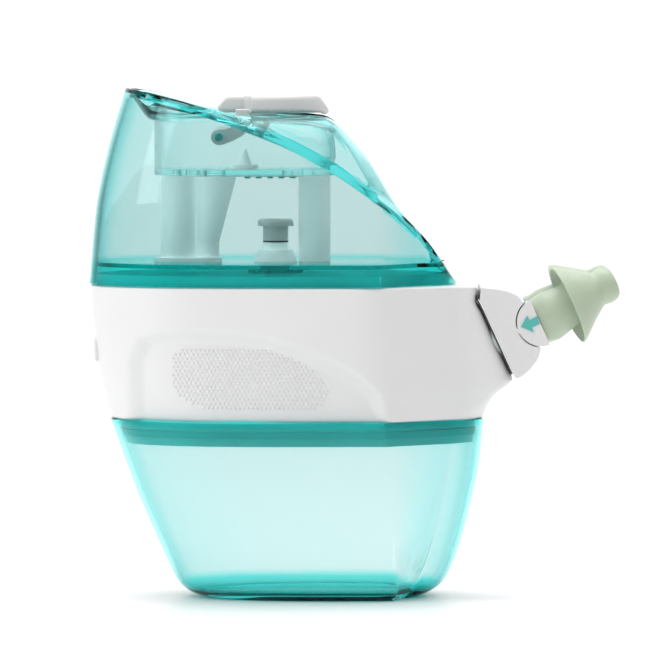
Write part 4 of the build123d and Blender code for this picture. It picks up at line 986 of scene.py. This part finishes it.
def lever_lid():
    """Lid plate, thinner at both ends, and the two arms that hold it on the hinge pins."""
    stations = [LID_BACK_X, -51.5, -51.0, -50.0, -48.8, -47.4, -46.0, -44.0, -42.4]
    stations += [-41.6 + 0.6 * k for k in range(6)]
    stations += [-37.0 + 1.5 * k for k in range(16)]
    stations += [-13.4, -12.4, -11.6, -11.0, -10.4, -9.9, -9.5, LID_FRONT_X]
    rings = []
    for x in stations:
        top = LID_TOP_Z - 3.8 * (1 - smoothstep(-52.6, -47.6, x)) - 4.6 * smoothstep(-14.6, -9.2, x) ** 1.6
        low = LID_LOW_Z + 0.9 * (1 - smoothstep(-51.8, -50.4, x)) - 0.6 * smoothstep(-12.6, -11.4, x)
        end = min(x - LID_BACK_X, LID_FRONT_X - x)
        shrink = 0.9 * (1 - smoothstep(-0.1, 1.2, end))
        half = lid_half(x) - shrink
        section = rounded_section(half, low + 0.5 * shrink, top - shrink, 2.0)
        rings.append([(x, y, z) for y, z in section])
    plate = skin("lever_plate", rings, True, True, 40)
    finish_piece(plate, "lever", "white_gloss", white_gloss, "lever_lid")
    arm = [(-39.0, 187.5), (-39.0, 182.4), (-39.8, 179.8), (-42.0, 177.4), (-45.6, 175.4), (-49.4, 173.9),
           (-51.0, 173.65), (-52.6, 174.1), (-53.8, 175.4), (-54.15, 176.8), (-53.8, 178.3), (-52.6, 179.5),
           (-51.0, 179.95), (-48.6, 180.1), (-46.4, 181.0), (-45.0, 182.8), (-44.8, 184.6), (-44.8, 187.5)]
    for number, side in enumerate((-1, 1)):
        low, high = sorted((side * ARM_INNER, side * ARM_OUTER))
        obj = prism("lever_arm_%d" % (number + 1), arm, low, high, 0.6, 3)
        finish_piece(obj, "lever", "white_gloss", white_gloss)


# ---- floor, light, camera ------------------------------------------------------------------
FLOOR_REACH = 6000
LOOK_AT = Vector((-0.0088, 0.0, 0.1021))  # metres
LOOK_DOWN, CAMERA_AWAY = radians(2.6), 2.8
SKY_TILT, SKY_LIFT = 1.3, 0.6
SKY_DIM, FLAG_DIM = (0.45, 0.45, 0.45), (0.32, 0.32, 0.32)
WHITE = (1.0, 1.0, 1.0)


def floor_sheet():
    """White ground round the object, reaching further behind it than in front."""
    reach, near, far = FLOOR_REACH, -FLOOR_REACH / 2, FLOOR_REACH * 1.5
    verts = [(-reach, near, 0), (reach, near, 0), (reach, far, 0), (-reach, far, 0)]
    floor = make_object("floor", verts, [(0, 1, 2, 3)])
    mat, nodes, links, shader = new_material("floor_white")
    drift = noise_node(nodes, links, 3.0)
    tint = ramp(nodes, links, drift.outputs["Fac"], 0.2, 0.8, (0.93, 0.93, 0.93), (0.95, 0.95, 0.95))
    links.new(tint.outputs["Color"], shader.inputs["Base Color"])
    shader.inputs["Roughness"].default_value = 0.35
    floor.data.materials.append(mat)


def math_node(nodes, links, operation, *sources):
    """Maths node fed with sockets or plain numbers."""
    node = nodes.new("ShaderNodeMath")
    node.operation = operation
    for socket, source in zip(node.inputs, sources):
        if isinstance(source, float):
            socket.default_value = source
        else:
            links.new(source, socket)
    return node.outputs["Value"]


def studio_sky():
    """Sky that is bright above and behind the object, with dark flags on both sides."""
    world = bpy.data.worlds.new("studio")
    bpy.context.scene.world = world
    world.use_nodes = True
    nodes, links = world.node_tree.nodes, world.node_tree.links
    coords = nodes.new("ShaderNodeTexCoord")
    split = nodes.new("ShaderNodeSeparateXYZ")
    links.new(coords.outputs["Generated"], split.inputs["Vector"])
    raised = math_node(nodes, links, "MULTIPLY_ADD", split.outputs["Z"], SKY_TILT, SKY_LIFT)
    facing = math_node(nodes, links, "ADD", split.outputs["Y"], raised)
    sky = ramp(nodes, links, facing, 0.0, 0.85, SKY_DIM, WHITE)
    aside = math_node(nodes, links, "ABSOLUTE", split.outputs["X"])
    low = math_node(nodes, links, "SUBTRACT", aside, split.outputs["Z"])
    flags = ramp(nodes, links, low, 0.2, 0.42, WHITE, FLAG_DIM)
    both = multiplied(nodes, links, sky.outputs["Color"], flags.outputs["Color"])
    links.new(both, nodes["Background"].inputs["Color"])
    nodes["Background"].inputs["Strength"].default_value = 1.25


def area_light(name, place, aim, size, power):
    """Rectangular soft box; place, aim and size are in metres and power in watts."""
    light = bpy.data.lights.new(name, "AREA")
    light.shape = "RECTANGLE"
    light.size, light.size_y = size
    light.energy = power
    obj = bpy.data.objects.new(name, light)
    bpy.context.scene.collection.objects.link(obj)
    obj.location = place
    obj.rotation_euler = (Vector(aim) - Vector(place)).to_track_quat("-Z", "Y").to_euler()


def front_camera():
    """Long lens a little above the middle of the object, looking along +Y."""
    lens = bpy.data.cameras.new("camera")
    lens.sensor_width = 36.0
    lens.lens = 397.0
    lens.clip_end = 50.0
    camera = bpy.data.objects.new("camera", lens)
    bpy.context.scene.collection.objects.link(camera)
    back = Vector((0, -cos(LOOK_DOWN), sin(LOOK_DOWN)))
    camera.location = LOOK_AT + back * CAMERA_AWAY
    camera.rotation_euler = (-back).to_track_quat("-Z", "Y").to_euler()
    bpy.context.scene.camera = camera
    bpy.context.scene.view_settings.view_transform = "Standard"


dress_cad_nodes()
catch_tank()
body_shell()
grip_dots()
saline_tank()
rim_bead()
tank_floor()
nose_dock()
pillow(1, "pillow_left", "nasal_pillow_left", "pillow_left")
pillow(-1, "pillow_right", "nasal_pillow_right", "pillow_right")
lever_lid()
floor_sheet()
studio_sky()
area_light("key", (-1.7, -0.7, 0.7), (0, 0, 0.1), (0.7, 0.7), 11.0)
area_light("top", (0.1, 0.3, 1.5), (0, 0, 0.1), (1.2, 0.9), 11.0)
front_camera()
